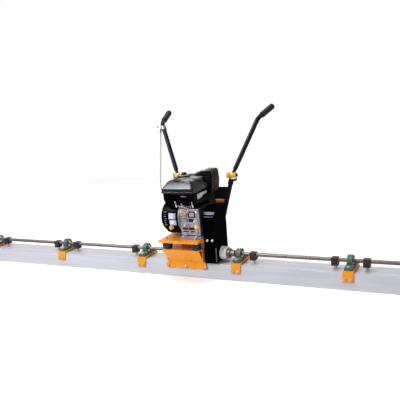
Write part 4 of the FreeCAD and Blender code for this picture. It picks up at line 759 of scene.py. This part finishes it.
def make_shield():
    """Heat shield with a sloping shoulder, hoops pressed round it and rows of slots painted dark as shade."""
    def ring(y, grow):
        middle = Vector((66, 0, 520))
        points = []
        for x, z in SHIELD:
            out = Vector((x, 0, z)) - middle
            points.append((Vector((x, y, z)) + out.normalized() * grow) * MM)
        return points

    shell = lofted("heat_shield", [ring(96, -4), ring(99, 0), ring(190, 0), ring(192, -6)])
    piece = finished("heat_shield", shell, "base", LOOKS["muffler_black"],
                     bevel=0.0008)
    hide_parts("muffler_guard")
    hoops = []
    for k in range(6):
        y = 101 + k * 16
        hoops.append(lofted("hoop", [ring(y, -1), ring(y + 0.6, 2.4), ring(y + 2.4, 2.4),
                                     ring(y + 3, -1)]))
    finished("shield_hoops", joined("shield_hoops", hoops), "base", HOOP)
    # Painted shade: near-black lozenges for the shadow inside the shield's slots.
    slot_shadows = []
    for row in range(5):
        z = 488 + row * 15
        for k in range(7):
            slot_shadows.append(lozenge((24 + k * 13.6, 95.7, z), (0, 1, 0), 10, 4))
        for k in range(6):
            slot_shadows.append(lozenge((121.6, 107.6 + k * 12.4, z), (1, 0, 0), 6, 6))
    finished("shield_slot_shadows", joined("shield_slot_shadows", slot_shadows), "base", SHADOW_PAINT)


def lozenge(centre, normal, long, wide):
    """Flat rounded slot facing along normal, in millimetres."""
    side = Vector((0, 1, 0)) if abs(normal[0]) else Vector((1, 0, 0))
    up = Vector(normal).cross(side)
    ring = []
    for k in range(20):
        angle = math.tau * k / 20
        shift = (long - wide) / 2 * (1 if math.cos(angle) > 0 else -1)
        ring.append(Vector(centre) + side * (shift + wide / 2 * math.cos(angle))
                    + up * (wide / 2 * math.sin(angle)))
    lift = Vector(normal) * 0.25
    return lofted("slot", [[(p - lift) * MM for p in ring], [(p + lift) * MM for p in ring]])


make_shield()


# ---------------------------------------------------------------- handle pivots
def make_pivot_covers():
    """Yellow cheeks on the pivot forks, and a yellow bush round each upper tube's eye."""
    cheeks = []
    for side, sign in SIDES:
        for start, end in ((PIVOT_X - 17.9, PIVOT_X - 12.4), (PIVOT_X + 19.2, PIVOT_X + 24.8)):
            low, high = sorted((sign * start, sign * end))
            cheeks.append(block("cheek", (low, PIVOT_Y - 17.5, PIVOT_Z - 21),
                                (high, PIVOT_Y + 9.5, PIVOT_Z + 14.5)))
        bush = lathed(f"pivot_bush_{side}", ((13, 0), (15, 0.6), (15, 30), (13, 30.6)),
                      (sign * (PIVOT_X - 12), PIVOT_Y, PIVOT_Z), (sign, 0, 0), 48)
        finished(f"pivot_bush_{side}", bush, f"handle_{side}", LOOKS["knob_yellow"])
    finished("pivot_cheeks", joined("pivot_cheeks", cheeks), "base", LOOKS["knob_yellow"],
             bevel=0.0008)


make_pivot_covers()


# ---------------------------------------------------------------- bearing detail
def make_nipples():
    """Grease nipple on the crown of each pillow block."""
    nipples = []
    for x in (-1500, -900, -300, -75, 75, 300, 900, 1500):
        nipples.append(lathed("nipple", ((3.4, -1), (3.4, 2), (2.2, 2.6), (2, 5), (2.8, 6),
                                         (2.4, 7.6), (1, 8.4)),
                              (x, 0, SHAFT_HEIGHT + 29.2), (0, 0, 1), 24))
    finished("grease_nipples", joined("grease_nipples", nipples), "base", BRASS)


make_nipples()


# ---------------------------------------------------------------- throttle cable
CABLE_ROUTE = [mm(*p) for p in (
    (-332, 346, 760), (-281, 232, 619), (-238, 128, 484), (-216, 104, 446), (-176, 92, 425),
    (-130, 84, 421), (-76.4, 80, 424))]
CABLE_DIAMETER = 0.007


def make_cable():
    """Throttle cable from the lever on the left handle to the governor arm."""
    mesh, line = curve_mesh("throttle_cable_sheath", CABLE_ROUTE, CABLE_DIAMETER / 2, 24)
    sheath = bpy.data.objects.new("throttle_cable_sheath", mesh)
    COLLECTION.objects.link(sheath)
    mesh.materials.append(LOOKS["cable_grey"])
    mesh.polygons.foreach_set("use_smooth", [True] * len(mesh.polygons))
    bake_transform(sheath)
    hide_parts("throttle_cable")


make_cable()


# ---------------------------------------------------------------- stage
def make_stage():
    """Pale floor, white surroundings that light one side more, and soft studio lamps."""
    floor = bpy.data.objects.new("floor", bpy.data.meshes.new("floor"))
    half = 2.7
    floor.data.from_pydata([(-half, -half, 0), (half, -half, 0), (half, half, 0),
                            (-half, half, 0)], [], [(0, 1, 2, 3)])
    COLLECTION.objects.link(floor)
    floor.location.z = -0.0004
    floor.data.materials.append(material("studio_floor", (0.98, 0.98, 0.98), 0.8, vary=0.005,
                                         bump=0.02, round_edge=0.0))
    world = bpy.data.worlds.new("studio")
    world.use_nodes = True
    tree = world.node_tree
    direction = tree.nodes.new("ShaderNodeTexCoord")
    facing = tree.nodes.new("ShaderNodeVectorMath")
    facing.operation = "DOT_PRODUCT"
    facing.inputs[1].default_value = (-0.50, 0.82, 0.22)
    tree.links.new(direction.outputs["Generated"], facing.inputs[0])
    level = tree.nodes.new("ShaderNodeMapRange")
    for key, value in (("From Min", -0.15), ("From Max", 0.62), ("To Min", 0.32),
                       ("To Max", 1.0)):
        level.inputs[key].default_value = value
    tree.links.new(facing.outputs["Value"], level.inputs["Value"])
    tree.nodes["Background"].inputs["Color"].default_value = (1, 1, 1, 1)
    seen = tree.nodes.new("ShaderNodeLightPath")
    brightest = tree.nodes.new("ShaderNodeMath")
    brightest.operation = "MAXIMUM"
    tree.links.new(level.outputs["Result"], brightest.inputs[0])
    tree.links.new(seen.outputs["Is Camera Ray"], brightest.inputs[1])
    tree.links.new(brightest.outputs[0], tree.nodes["Background"].inputs["Strength"])
    bpy.context.scene.world = world
    for name, place, target, power, size in (
            ("key", (-2.2, -2.9, 3.6), (0, 0, 0.35), 150, 2.0),
            ("top", (-0.4, 0.6, 4.2), (0, 0, 0), 80, 2.6),
            ("fill", (0.6, -3.3, 0.7), (0, 0, 0.15), 4, 2.0),
            ("sheen", (-1.72, -1.86, 2.92), (0, -0.1, 0.52), 165, 1.5)):
        lamp = bpy.data.lights.new(name, "AREA")
        lamp.energy = power
        lamp.shape = "DISK"
        lamp.size = size
        light = bpy.data.objects.new(name, lamp)
        COLLECTION.objects.link(light)
        light.location = place
        if name == "sheen":
            light.visible_diffuse = False
            lamp.color = (0.78, 0.88, 1.0)
        light.visible_glossy = name != "fill"
        aim = Vector(target) - Vector(place)
        light.rotation_euler = aim.to_track_quat("-Z", "Y").to_euler()
    bpy.context.scene.view_settings.view_transform = "Standard"


make_stage()
